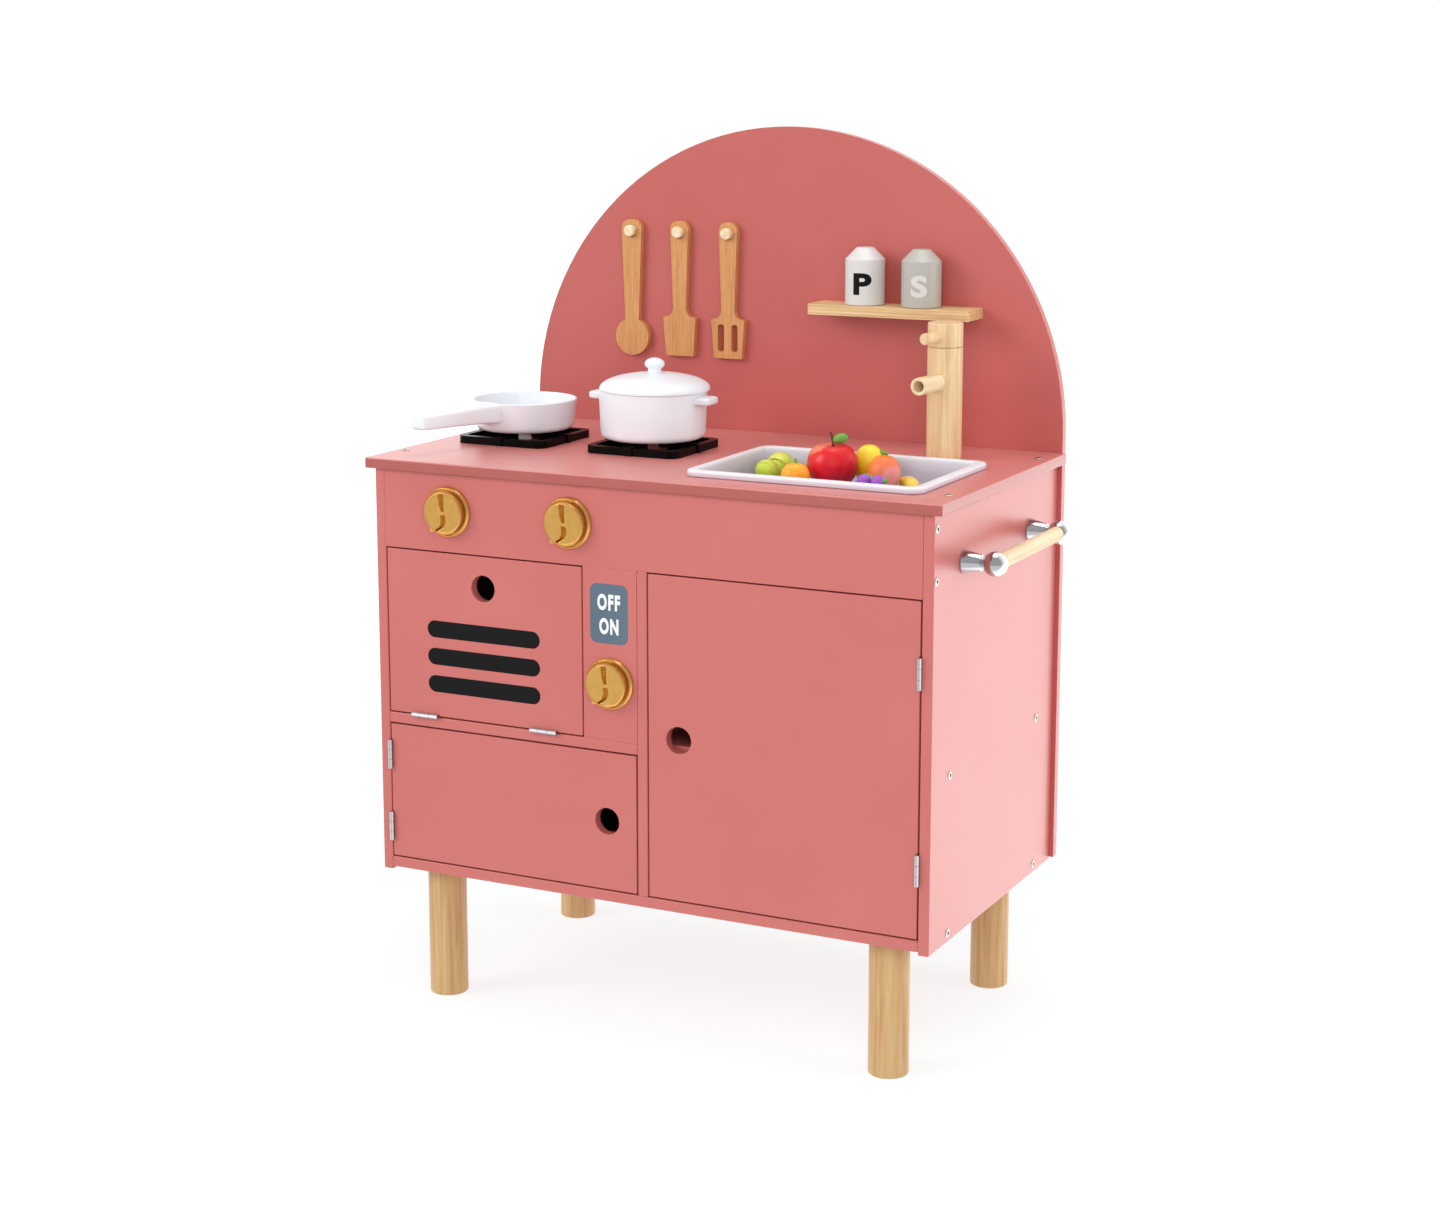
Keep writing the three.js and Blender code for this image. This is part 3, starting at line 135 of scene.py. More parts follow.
AMBIENT = 0.56  # the room as a light
FLOOR_SEEN = 0.76  # the floor's own glow near the kitchen, for the camera
FLOOR_BOUNCE = 0.42  # the floor's own glow as a light
FRONT_MIRRORED = 0.5  # what reflections show in front
SWEEP_MIRRORED = 1.6  # what reflections show of the room behind
FLOOR_MIRRORED = 2.4  # what reflections show of the floor behind
FLOOR_HALF = 12.0  # metres
LAMPS = (
    ("key", (-2.6, -2.6, 2.3), (0, 0, 0.4), (1.9, 1.9), 64),
    ("fill", (1.2, -2.3, 1.3), (0, -0.16, 0.4), (1.6, 1.6), 24),
    ("top", (0.3, 0.0, 3.2), (0.2, 0.1, 0.4), (1.2, 1.2), 19),
    ("right panel", (2.6, 0.7, 1.1), (0, 0, 0.45), (1.8, 1.6), 22),
)
LAMPS_NOT_MIRRORED = ("fill", "right panel")

# The camera, fitted to the photograph: its place in the drawing's millimetres, its turn to the
# left and its tilt down in radians, and its focal length in the photograph's pixels.

CAMERA_PLACE = (1115.9, -2060.6, 932.4)
CAMERA_YAW = 0.464
CAMERA_PITCH = 0.176
CAMERA_FOCAL_PX = 2589.5
CAMERA_SHIFT = -0.07  # of the frame's width, upwards
PHOTO_WIDTH_PX = 1440
SENSOR_MM = 36.0


def placed(points):
    """Drawing millimetres to metres in the row's frame: scaled, then moved."""
    return np.asarray(points, float) * MM + DRAWING_ORIGIN


def drawn_box(node):
    """The lowest and highest corners of a CAD node in drawing millimetres."""
    low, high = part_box(node)
    return (np.array(low) - DRAWING_ORIGIN) / MM, (np.array(high) - DRAWING_ORIGIN) / MM


def on_the_floor(low, high):
    """The middle of a box in X and Y, at height 0."""
    return np.array([(low[0] + high[0]) / 2, (low[1] + high[1]) / 2, 0])


# Surfaces


def skin(rings):
    """Quads between neighbouring rings of equal length, each end closed on its ring's mean."""
    rings = np.asarray(rings, float)
    count, sides, _ = rings.shape
    index = np.arange(count * sides).reshape(count, sides)
    after = np.roll(index, -1, axis=1)
    quads = np.stack([index[:-1], after[:-1], after[1:], index[1:]], axis=-1).reshape(-1, 4)
    points = rings.reshape(-1, 3)
    first_hub, last_hub = len(points), len(points) + 1
    points = np.vstack([points, rings[0].mean(0), rings[-1].mean(0)])
    start = np.stack([after[0], index[0], np.full(sides, first_hub)], -1)
    end = np.stack([index[-1], after[-1], np.full(sides, last_hub)], -1)
    return points, quads.tolist() + start.tolist() + end.tolist()


def filleted(corners, radii, steps=6):
    """A polyline whose corners are rounded: each is swapped for a parabola that touches both of
    its sides where a circle of that radius would, at radius / tan(half the corner's angle)."""
    corners = np.asarray(corners, float)
    out = [corners[0]]
    for before, here, after, radius in zip(corners[:-2], corners[1:-1], corners[2:], radii[1:-1]):
        to_before, to_after = np.linalg.norm(before - here), np.linalg.norm(after - here)
        a, b = (before - here) / to_before, (after - here) / to_after
        half = math.acos(float(np.clip(a @ b, -1, 1))) / 2
        if radius <= 0 or half > 1.55:
            out.append(here)
            continue
        reach = min(radius / math.tan(half), 0.49 * to_before, 0.49 * to_after)
        start, end = here + a * reach, here + b * reach
        share = np.linspace(0, 1, steps + 1)[:, None]
        out.extend((1 - share) ** 2 * start + 2 * share * (1 - share) * here + share**2 * end)
    out.append(corners[-1])
    return np.array(out)


def revolved(profile, sides=96):
    """Rings (r cos a, r sin a, z) for each profile point (r, z), as a closed skin."""
    profile = np.asarray(profile, float)
    keep = profile[:, 0] > 1e-6
    angle = np.linspace(0, 2 * np.pi, sides, endpoint=False)
    radius, height = profile[keep, 0][:, None], profile[keep, 1][:, None]
    rings = [radius * np.cos(angle), radius * np.sin(angle), height + 0 * angle]
    points, faces = skin(np.stack(rings, axis=-1))
    points[-2, 2] = profile[0, 1]
    points[-1, 2] = profile[-1, 1]
    return points, faces


def swept(path, widths, heights, corner_share=0.5, sides=40):
    """A tube whose section is a superellipse |u/w|^n + |v/h|^n = 1, with n = 2 / corner_share and
    w and h half its width and height, carried along a path. The section stands square to the path,
    with its height as near to +Z as the path allows."""
    path = np.asarray(path, float)
    widths = np.broadcast_to(np.asarray(widths, float), (len(path),))
    heights = np.broadcast_to(np.asarray(heights, float), (len(path),))
    along = np.gradient(path, axis=0)
    along /= np.linalg.norm(along, axis=1, keepdims=True)
    side = np.cross(along, [0.0, 0.0, 1.0])
    side /= np.linalg.norm(side, axis=1, keepdims=True)
    rise = np.cross(side, along)
    angle = np.linspace(0, 2 * np.pi, sides, endpoint=False)
    u = np.sign(np.cos(angle)) * np.abs(np.cos(angle)) ** corner_share
    v = np.sign(np.sin(angle)) * np.abs(np.sin(angle)) ** corner_share
    rings = (
        path[:, None]
        + side[:, None] * (u * widths[:, None] / 2)[..., None]
        + rise[:, None] * (v * heights[:, None] / 2)[..., None]
    )
    return skin(rings[:, ::-1])


def together(*shells):
    """Several shells as one list of points and one of faces."""
    points, faces, start = [], [], 0
    for shell_points, shell_faces in shells:
        points.append(np.asarray(shell_points, float))
        faces += [[i + start for i in face] for face in shell_faces]
        start += len(shell_points)
    return np.vstack(points), faces


def facing_front(points):
    """Turns a shape drawn along +Z so that it points forwards, along -Y."""
    x, y, z = np.asarray(points, float).T
    return np.stack([x, -z, y], axis=-1)


def facing_right(points):
    """Turns a shape drawn along +Z so that it points along +X."""
    x, y, z = np.asarray(points, float).T
    return np.stack([z, x, y], axis=-1)


def turned_about_z(points, degrees):
    """Turns points about +Z by the right-hand rule."""
    a = math.radians(degrees)
    x, y, z = np.asarray(points, float).T
    return np.stack([x * math.cos(a) - y * math.sin(a), x * math.sin(a) + y * math.cos(a), z], -1)


def piece(name, shell, material, body, replaces=(), sharp=40):
    """A new mesh object at the origin that rides on a body, smooth up to an angle in degrees."""
    points, faces = shell
    mesh = bpy.data.meshes.new(name)
    mesh.from_pydata(placed(points).tolist(), [], faces)
    mesh.update()
    mesh.shade_smooth()
    mesh.set_sharp_from_angle(angle=math.radians(sharp))
    made = bpy.data.objects.new(name, mesh)
    bpy.context.scene.collection.objects.link(made)
    made.data.materials.append(material)
    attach(made, body)
    if replaces:
        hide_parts(*replaces)


# Ways to make a material


def linear(code):
    """An sRGB hex colour as linear RGBA."""
    channels = [int(code[i : i + 2], 16) / 255 for i in (1, 3, 5)]
    lin = [c / 12.92 if c <= 0.04045 else ((c + 0.055) / 1.055) ** 2.4 for c in channels]
    return (*lin, 1.0)


def per_mm(size):
    """The scale of a noise whose patches are about that many millimetres wide."""
    return 1 / (size * MM)


def add(tree, kind, inputs=None, **settings):
    """Adds a node, with its settings, and its inputs as values or as links from sockets."""
    made = tree.nodes.new(kind)
    for key, value in settings.items():
        setattr(made, key, value)
    for key, value in (inputs or {}).items():
        socket = made.inputs[key]
        if isinstance(value, bpy.types.NodeSocket):
            tree.links.new(value, socket)
        else:
            socket.default_value = value
    return made


def stops(ramp, *colours):
    """Sets a ramp's (position, colour) pairs, as hex codes or shares, and gives its colour."""
    elements = ramp.color_ramp.elements
    while len(elements) < len(colours):
        elements.new(0.5)
    for element, (position, colour) in zip(elements, colours):
        element.position = position
        element.color = linear(colour) if isinstance(colour, str) else colour
    return ramp.outputs["Color"]


def started(name):
    """A bare material with its node tree and its Object coordinates."""
    material = bpy.data.materials.new(name)
    material.use_nodes = True
    tree = material.node_tree
    tree.nodes.clear()
    return material, tree, add(tree, "ShaderNodeTexCoord").outputs["Object"]


def surfaced(tree, inputs):
    """Ends a material's tree with a Principled shader that has these inputs."""
    shader = add(tree, "ShaderNodeBsdfPrincipled", inputs)
    add(tree, "ShaderNodeOutputMaterial", {"Surface": shader.outputs["BSDF"]})


def satin_paint(name, colour, lighter, roughness=0.42, gloss=0.55, coat=0.12, edge=None):
    """Satin paint sprayed on sanded board: an even colour with faint clouds about 110 mm wide and
    a soft sheen. The droplets' texture is drawn 1.1 mm wide, coarser than real, so that it shows.
    An edge (height, colour) gives what lies below that height a deeper colour: painted shade."""
    material, tree, at = started(name)
    clouds = {"Vector": at, "Scale": per_mm(PAINT_CLOUD), "Detail": 3.0}
    cloud = add(tree, "ShaderNodeTexNoise", clouds).outputs["Fac"]
    ramp = add(tree, "ShaderNodeValToRGB", {"Fac": cloud})
    base = stops(ramp, (0.3, colour), (0.75, lighter))
    # Painted shade: what lies below the edge's height takes the deeper colour.
    if edge:
        top, below = edge
        height = add(tree, "ShaderNodeSeparateXYZ", {0: at}).outputs["Z"]
        span = {"Value": height, "From Min": (top - 1.6) * MM, "From Max": (top - 0.4) * MM}
        share = add(tree, "ShaderNodeMapRange", span).outputs["Result"]
        mixed = {"Fac": share, "Color1": linear(below), "Color2": base}
        base = add(tree, "ShaderNodeMixRGB", mixed).outputs["Color"]
    span = {"Value": cloud, "To Min": roughness - 0.05, "To Max": roughness + 0.06}
    rough = add(tree, "ShaderNodeMapRange", span).outputs["Result"]
    droplets = {"Vector": at, "Scale": per_mm(PAINT_DROPLET), "Detail": 2.0}
    spray = add(tree, "ShaderNodeTexNoise", droplets).outputs["Fac"]
    relief = {"Height": spray, "Strength": 0.12, "Distance": 0.0004}
    surface = {
        "Base Color": base,
        "Roughness": rough,
        "Normal": add(tree, "ShaderNodeBump", relief).outputs["Normal"],
        "Specular IOR Level": gloss,
        "Coat Weight": coat,
        "Coat Roughness": 0.3,
    }
    surfaced(tree, surface)
    return material


def sanded_wood(name, pale, mid, dark, along="Z", roughness=0.5, grain_mm=3.2):
    """Sanded wood with a clear finish: growth bands a few millimetres wide that run far along
    the grain, with darker pores. The pores are drawn 0.45 mm wide and 14 mm long, coarser than
    real, so that they show."""
    material, tree, at = started(name)
    axis = "XYZ".index(along)
    scale = [per_mm(grain_mm)] * 3
    scale[axis] *= BAND_WIDTH_TO_LENGTH
    leaning = {"Vector": at, "Scale": scale, "Rotation": (0.02, 0.03, 0.0)}
    bent = add(tree, "ShaderNodeMapping", leaning).outputs["Vector"]
    growth = {"Vector": bent, "Scale": 0.55, "Detail": 4.0, "Distortion": 0.35}
    bands = add(tree, "ShaderNodeTexNoise", growth).outputs["Fac"]
    base = stops(
        add(tree, "ShaderNodeValToRGB", {"Fac": bands}), (0.32, dark), (0.5, mid), (0.68, pale)
    )
    pore_scale = [per_mm(PORE_WIDTH)] * 3
    pore_scale[axis] = per_mm(PORE_LENGTH)
    fine = add(tree, "ShaderNodeMapping", {"Vector": at, "Scale": pore_scale}).outputs["Vector"]
    pores = add(tree, "ShaderNodeTexNoise", {"Vector": fine, "Scale": 1.0, "Detail": 2.0})
    pores = pores.outputs["Fac"]
    darker = add(tree, "ShaderNodeValToRGB", {"Fac": pores})
    shade = stops(darker, (0.3, (0.80, 0.76, 0.72, 1)), (0.55, (1, 1, 1, 1)))
    both = {"Fac": 0.55, "Color1": base, "Color2": shade}
    relief = {"Height": pores, "Strength": 0.2, "Distance": 0.0003}
    surface = {
        "Base Color": add(tree, "ShaderNodeMixRGB", both, blend_type="MULTIPLY").outputs["Color"],
        "Normal": add(tree, "ShaderNodeBump", relief).outputs["Normal"],
        "Roughness": roughness,
    }
    surfaced(tree, surface)
    return material


def with_ply_lines(material, underside, ply_mm, depth):
    """Adds to a wood the glue lines of plywood: thin darker stripes, one to a ply, above the
    underside's height. The top and underside lie between two lines and keep their colour."""
    tree = material.node_tree
    shader = next(node for node in tree.nodes if node.type == "BSDF_PRINCIPLED")
    wood = shader.inputs["Base Color"].links[0].from_socket
    at = add(tree, "ShaderNodeTexCoord").outputs["Object"]
    height = add(tree, "ShaderNodeSeparateXYZ", {0: at}).outputs["Z"]
    span = {"Value": height, "From Min": underside * MM, "From Max": (underside + ply_mm) * MM}
    plies = add(tree, "ShaderNodeMapRange", span, clamp=False).outputs["Result"]
    inside = add(tree, "ShaderNodeMath", {0: plies}, operation="FRACT").outputs["Value"]
    ramp = add(tree, "ShaderNodeValToRGB", {"Fac": inside})
    plain, line = (1, 1, 1, 1), (depth, depth * 0.9, depth * 0.8, 1)
    shade = stops(ramp, (0.34, plain), (0.46, line), (0.54, line), (0.66, plain))
    both = {"Fac": 1.0, "Color1": wood, "Color2": shade}
    mixed = add(tree, "ShaderNodeMixRGB", both, blend_type="MULTIPLY")
    tree.links.new(mixed.outputs["Color"], shader.inputs["Base Color"])
    return material


def moulded_plastic(name, colour, shadow, roughness=0.35, gloss=0.5):
    """Injection-moulded plastic: an even colour with flow marks about 45 mm wide, and a soft
    gloss. The mould's spark-eroded texture is drawn 0.67 mm wide, coarser than real."""
    material, tree, at = started(name)
    marks = {"Vector": at, "Scale": per_mm(PLASTIC_FLOW), "Detail": 2.0}
    flow = add(tree, "ShaderNodeTexNoise", marks).outputs["Fac"]
    ramp = add(tree, "ShaderNodeValToRGB", {"Fac": flow})
    grains = {"Vector": at, "Scale": per_mm(PLASTIC_GRAIN), "Detail": 1.0}
    grit = add(tree, "ShaderNodeTexNoise", grains).outputs["Fac"]
    relief = {"Height": grit, "Strength": 0.06, "Distance": 0.0003}
    surface = {
        "Base Color": stops(ramp, (0.3, shadow), (0.7, colour)),
        "Normal": add(tree, "ShaderNodeBump", relief).outputs["Normal"],
        "Roughness": roughness,
        "Specular IOR Level": gloss,
    }
    surfaced(tree, surface)
    return material


def metal(name, colour, roughness, metallic=1.0, brush=0.0):
    """A metal or metallised finish: a coloured reflection whose polish and tone vary a little over
    wiping marks about 6 mm wide, which brushing also makes felt."""
    material, tree, at = started(name)
    marks = {"Vector": at, "Scale": per_mm(METAL_WIPE), "Detail": 3.0}
    wipe = add(tree, "ShaderNodeTexNoise", marks).outputs["Fac"]
    span = {"Value": wipe, "To Min": roughness * 0.8, "To Max": roughness * 1.25}
    tint = add(tree, "ShaderNodeValToRGB", {"Fac": wipe})
    bright = linear(colour)
    dim = (*(channel * WIPED_TONE for channel in bright[:3]), 1.0)
    surface = {
        "Base Color": stops(tint, (0.35, dim), (0.65, bright)),
        "Roughness": add(tree, "ShaderNodeMapRange", span).outputs["Result"],
        "Metallic": metallic,
    }
    if brush:
        relief = {"Height": wipe, "Strength": brush, "Distance": 0.0003}
        surface["Normal"] = add(tree, "ShaderNodeBump", relief).outputs["Normal"]
    surfaced(tree, surface)
    return material


def blended_fruit(name, centre, direction, reach, *colours, roughness=0.32, speckle=0.0):
    """Painted plastic fruit: colours blended along a direction, from a reach before the fruit's
    centre to one after it, with blotches about 14 mm wide and a thin gloss coat."""
    material, tree, at = started(name)
    direction = np.asarray(direction, float) / np.linalg.norm(direction)
    from_centre = {0: at, 1: tuple(placed(centre))}
    offset = add(tree, "ShaderNodeVectorMath", from_centre, operation="SUBTRACT")
    along = {0: offset.outputs["Vector"], 1: tuple(direction)}
    height = add(tree, "ShaderNodeVectorMath", along, operation="DOT_PRODUCT").outputs["Value"]
    span = {"Value": height, "From Min": -reach * MM, "From Max": reach * MM}
    share = add(tree, "ShaderNodeMapRange", span).outputs["Result"]
    blotches = {"Vector": at, "Scale": per_mm(FRUIT_BLOTCH), "Detail": 3.0}
    cloud = add(tree, "ShaderNodeTexNoise", blotches).outputs["Fac"]
    mixed = add(tree, "ShaderNodeMath", {0: cloud, 1: 0.25, 2: share}, operation="MULTIPLY_ADD")
    ramp = add(tree, "ShaderNodeValToRGB", {"Fac": mixed.outputs["Value"]})
    relief = {"Height": cloud, "Strength": 0.05 + speckle, "Distance": 0.0005}
    surface = {
        "Base Color": stops(ramp, *colours),
        "Normal": add(tree, "ShaderNodeBump", relief).outputs["Normal"],
        "Roughness": roughness,
        "Specular IOR Level": 0.25,
        "Coat Weight": 0.1,
        "Coat Roughness": 0.15,
    }
    surfaced(tree, surface)
    return material


def basin_plastic_with_painted_shade(rim):
    """White moulded plastic with painted shade below the rim in a cooler grey: a blend over the
    height, with a satin face and a soft gloss."""
    material, tree, at = started("white moulded basin, painted shade below the rim")
    height = add(tree, "ShaderNodeSeparateXYZ", {0: at}).outputs["Z"]
    span = {"Value": height, "From Min": (rim - 14) * MM, "From Max": (rim + 0.5) * MM}
    share = add(tree, "ShaderNodeMapRange", span).outputs["Result"]
    ramp = add(tree, "ShaderNodeValToRGB", {"Fac": share})
    # Painted shade: the greys below the rim, white at the rim.
    base = stops(ramp, (0.0, "#BAB3BF"), (0.7, "#CEC8D2"), (1.0, "#ECEEF2"))
    surfaced(tree, {"Base Color": base, "Roughness": 0.34})
    return material


# Materials

# Board sprayed with a solid satin paint: dull pink, even, with a soft broad sheen.
pink_paint = satin_paint("sprayed satin paint", "#C86A65", "#CC706A", 0.35)
# The same paint in more coats on the worktop, which shines more. Its lighter tone is painted
# light on the top, and its cut edge below the top is painted shade in a deeper colour.
worktop_paint_painted_light_and_shade = satin_paint(
    "sprayed satin paint, worktop, painted light and shade", "#CE7A75", "#D3807A", 0.4, 0.7, 0.25, (WORKTOP, "#AE544D")
)
# The same paint on the thin backboard, a shade deeper as painted shade.
backboard_paint_painted_shade = satin_paint("sprayed satin paint, backboard, painted shade", "#BE5D58", "#C2625D", 0.37)
# Paint on turned shakers: off-white and pale grey, with a satin sheen.
white_paint = satin_paint("white satin paint", "#D6D5D2", "#DDDCD9", 0.4)
grey_paint = satin_paint("pale grey satin paint", "#B2B0A8", "#BAB8B0", 0.4)
# Screen-printed inks: flat, thin and duller than the paint under them.
black_ink = satin_paint("black printed ink", "#0E0D0F", "#151416", 0.6, gloss=0.15, coat=0.0)
white_ink = satin_paint("white printed ink", "#F4F4F5", "#FAFAFB", 0.45)
pale_ink = satin_paint("pale printed ink", "#D6D2CD", "#DCD8D3", 0.45)
slate_ink = satin_paint("slate printed ink", "#5A6C7B", "#627382", 0.5, gloss=0.3, coat=0.0)
# Sanded pine with a clear coat: pale, warm, with quiet bands along each piece's own grain.
pine_upright = sanded_wood("sanded pine, upright", "#EFD5AC", "#E6C698", "#DCB788", grain_mm=2.4)
pine_across = sanded_wood(
    "sanded pine, across", "#EBCC9D", "#E2BE8B", "#D3AB77", "X", grain_mm=2.2
)
pine_deep = sanded_wood("sanded pine, front to back", "#F7E6C6", "#F1DAB2", "#E6C799", "Y")
leg_pine = sanded_wood("sanded pine legs", "#D7B381", "#CFA672", "#C2935E", grain_mm=3.0)
# Beech rubbed with oil: redder and darker than the pine, with a fine close grain.
oiled_beech = sanded_wood(
    "oiled beech", "#D99F66", "#D3965C", "#C7894F", roughness=0.45, grain_mm=1.3
)
# Plastic with a gold lacquer: a warm reflection, softened by the lacquer.
gold = metal("gold lacquered plastic", "#E3AE5E", 0.3, metallic=0.85)
# Chrome plating on a polished casting: clear, nearly colourless reflections.
chrome = metal("polished chrome", "#CDCED1", 0.12)
# Rolled steel strip, brushed: a dull silver whose face is a little uneven.
hinge_steel = metal("brushed steel", "#C9C9CC", 0.3, brush=0.2)
# Zinc plating on pressed screws: a little warmer and duller than the hinges.
screw_steel = metal("bright zinc", "#B9B4B0", 0.35, brush=0.2)
# Moulded ABS for pan, pot and lid: clean cool white with a soft gloss.
white_plastic = moulded_plastic("white moulded plastic", "#EBF0F5", "#E7ECF1", 0.3)
# Moulded ABS for the grates, nearly black and barely glossy; also painted shade in the screws'
# recesses.
black_plastic = moulded_plastic("black moulded plastic", "#080708", "#050505", 0.3, gloss=0.08)
# Moulded polyethylene leaves and stems: fresh green and brown, with a waxy face.
leaf_green = moulded_plastic("green moulded leaf", "#79AC50", "#669A41", 0.4, gloss=0.35)
stem_brown = moulded_plastic("brown moulded stem", "#5A3524", "#452718", 0.4)


# CAD nodes that stay


def smoothing_group():
    """A modifier that shades faces smooth and keeps edges above the sharp angle sharp."""
    group = bpy.data.node_groups.new("smooth up to an angle", "GeometryNodeTree")
    group.interface.new_socket("Geometry", in_out="INPUT", socket_type="NodeSocketGeometry")
    group.interface.new_socket("Geometry", in_out="OUTPUT", socket_type="NodeSocketGeometry")
    entry = add(group, "NodeGroupInput").outputs["Geometry"]
    rounded = {"Geometry": entry, "Shade Smooth": True}
    faces = add(group, "GeometryNodeSetShadeSmooth", rounded, domain="FACE").outputs["Geometry"]
    angle = add(group, "GeometryNodeInputMeshEdgeAngle").outputs["Unsigned Angle"]
    limit = {0: angle, 1: math.radians(SHARP_ANGLE)}
    wide = add(group, "ShaderNodeMath", limit, operation="GREATER_THAN").outputs["Value"]
    kept = {"Geometry": faces, "Selection": wide, "Shade Smooth": False}
    edges = add(group, "GeometryNodeSetShadeSmooth", kept, domain="EDGE").outputs["Geometry"]
    add(group, "NodeGroupOutput", {"Geometry": edges})
    return group


smoothing = smoothing_group()


def finished(node, material, edge=0.0):
    """Gives a CAD node its material and live modifiers: doubled points are welded, edges are
    rounded if asked, and the shading is smooth over the rounding but level on the faces."""
    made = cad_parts[node]
    if not made.data.materials:
        made.data.materials.append(material)
    for slot in made.material_slots:
        slot.material = material
    weld = made.modifiers.new("weld", "WELD")
    weld.merge_threshold = 2e-6
    if node in ("control_panel", "fascia"):
        # Round a spindle's hole the bevel would leave a crease along a long thin triangle.
        whole = made.modifiers.new("whole faces", "DECIMATE")
        whole.decimate_type = "DISSOLVE"
        whole.angle_limit = math.radians(1)
    if edge:
        bevel = made.modifiers.new("edge", "BEVEL")
        bevel.width = edge * MM
        bevel.segments = 3
        bevel.limit_method = "ANGLE"
        bevel.angle_limit = math.radians(SHARP_ANGLE)
        bevel.use_clamp_overlap = True
    smooth = made.modifiers.new("smooth", "NODES")
    smooth.node_group = smoothing
    if edge:
        level = made.modifiers.new("level faces", "WEIGHTED_NORMAL")
        level.keep_sharp = True


def finish_boards():
    """Boards, doors, shelf, utensils and grates with eased edges, and the hinges' plain leaves."""
    boards = ("left_side_panel", "right_side_panel", "bottom_board", "divider")
    boards += ("oven_shelf", "cupboard_shelf", "fascia", "control_panel")
    for node in boards:
        finished(node, pink_paint, BOARD_EDGE)
    for node in ("oven_door", "lower_door", "cupboard_door"):
        finished(node, pink_paint, DOOR_EDGE)
    finished("worktop", worktop_paint_painted_light_and_shade, BOARD_EDGE)
    finished("backboard", backboard_paint_painted_shade, BACKBOARD_EDGE)
    low, high = drawn_box("spice_shelf")
    ply = (high[2] - low[2]) / SHELF_PLIES
    finished("spice_shelf", with_ply_lines(pine_across, low[2], ply, 0.82), SHELF_EDGE)
    for node in ("spoon", "turner", "slotted_turner"):
        finished(node, oiled_beech, UTENSIL_EDGE)
    for node in ("left_grate", "right_grate"):
        finished(node, black_plastic, GRATE_EDGE)
    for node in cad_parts:
        if "_leaf" in node:
            finished(node, hinge_steel)


# Turned wood


def forward_rod(node, rounding):
    """Replaces a CAD rod along Y by a revolved rectangle whose corners have these radii."""
    low, high = drawn_box(node)
    radius, length = (high[0] - low[0]) / 2, high[1] - low[1]
    corners = [(0, 0), (radius, 0), (radius, length), (0, length)]
    points, faces = revolved(filleted(corners, rounding), 64)
    base = np.array([(low[0] + high[0]) / 2, high[1], (low[2] + high[2]) / 2])
    shell = (facing_front(points) + base, faces)
    piece(node + "_wood", shell, pine_deep, "cabinet", [node])


def turned_wood():
    """Legs and pegs: revolved rectangles with eased ends."""
    for node in ("front_left_leg", "front_right_leg", "rear_left_leg", "rear_right_leg"):
        low, high = drawn_box(node)
        radius = (high[0] - low[0]) / 2
        corners = [(0, 0), (radius, 0), (radius, high[2]), (0, high[2])]
        points, faces = revolved(filleted(corners, [0, 2.2, 0.2, 0]))
        shell = (points + on_the_floor(low, high), faces)
        piece(node + "_wood", shell, leg_pine, "cabinet", [node])
    for node in ("spoon_peg", "turner_peg", "slotted_turner_peg"):
        forward_rod(node, [0, 0.1, 1.6, 0])


def faucet():
    """A turned post with a bored spout and a round head with a lever, turned a little left."""
    low, high = drawn_box("faucet_post")
    centre, radius = on_the_floor(low, high), FAUCET_RADIUS
    foot, top = WORKTOP + SEAT_GAP, high[2]
    corners = [(0, low[2]), (6, low[2]), (6, foot), (radius, foot), (radius, top), (0, top)]
    points, faces = revolved(filleted(corners, [0, 0.5, 0.2, 0.6, 0.9, 0]))
    shell = (points + centre, faces)
    piece("faucet_post_wood", shell, pine_upright, "faucet", ["faucet_post"])

    corners = [(0, 16), (8.5, 16), (8.5, 54), (5.4, 54), (5.4, 19), (0, 19)]
    points, faces = revolved(filleted(corners, [0, 0.3, 0.9, 0.7, 0.4, 0]), 64)
    points = turned_about_z(facing_front(points), FAUCET_TURN) + centre + [0, 0, foot + SPOUT_RISE]
    shell = (points, faces)
    piece("faucet_spout_wood", shell, pine_deep, "faucet", ["faucet_spout"])

    low, high = drawn_box("faucet_head")
    seam, crown = top + SEAT_GAP, high[2]
    corners = [(0, low[2]), (5, low[2]), (5, seam), (radius, seam), (radius, crown), (0, crown)]
    head = revolved(filleted(corners, [0, 0.3, 0.2, 0.9, 1.2, 0]))
    lever = revolved(filleted([(0, 8), (5.5, 8), (5.5, 43), (0, 43)], [0, 0, 1.0, 0]), 64)
    lever_points = turned_about_z(facing_front(lever[0]), FAUCET_TURN) + [0, 0, seam + LEVER_RISE]
    points, faces = together(head, (lever_points, lever[1]))
    shell = (points + centre, faces)
    piece("faucet_head_wood", shell, pine_upright, "faucet_head", ["faucet_head"])


def towel_rail():
    """Two chromed posts, each a cone with a ball, and a dowel held between the balls."""
    angle = np.linspace(math.pi - 0.6, 0, 30)
    wide, far = RAIL_BALL_RADIUS * np.sin(angle), RAIL_BALL_RADIUS * np.cos(angle)
    ball_arc = np.stack([wide, RAIL_BALL_REACH + far], axis=-1)
    cone = filleted(
        [(0, 0), (11.3, 0), (11.2, 1.5), (7.4, 17.6), (5.6, 18.4), tuple(ball_arc[0])],
        [0, 0.5, 0.8, 0.6, 0.6, 0],
    )
    points, faces = revolved(np.vstack([cone[:-1], ball_arc]), 72)
    for node, y in RAIL_POSTS:
        low, high = drawn_box(node)
        shell = (facing_right(points) + [low[0], y, (low[2] + high[2]) / 2], faces)
        piece(node + "_chrome", shell, chrome, "cabinet", [node])
    forward_rod("rail_dowel", [0, 0, 0, 0])


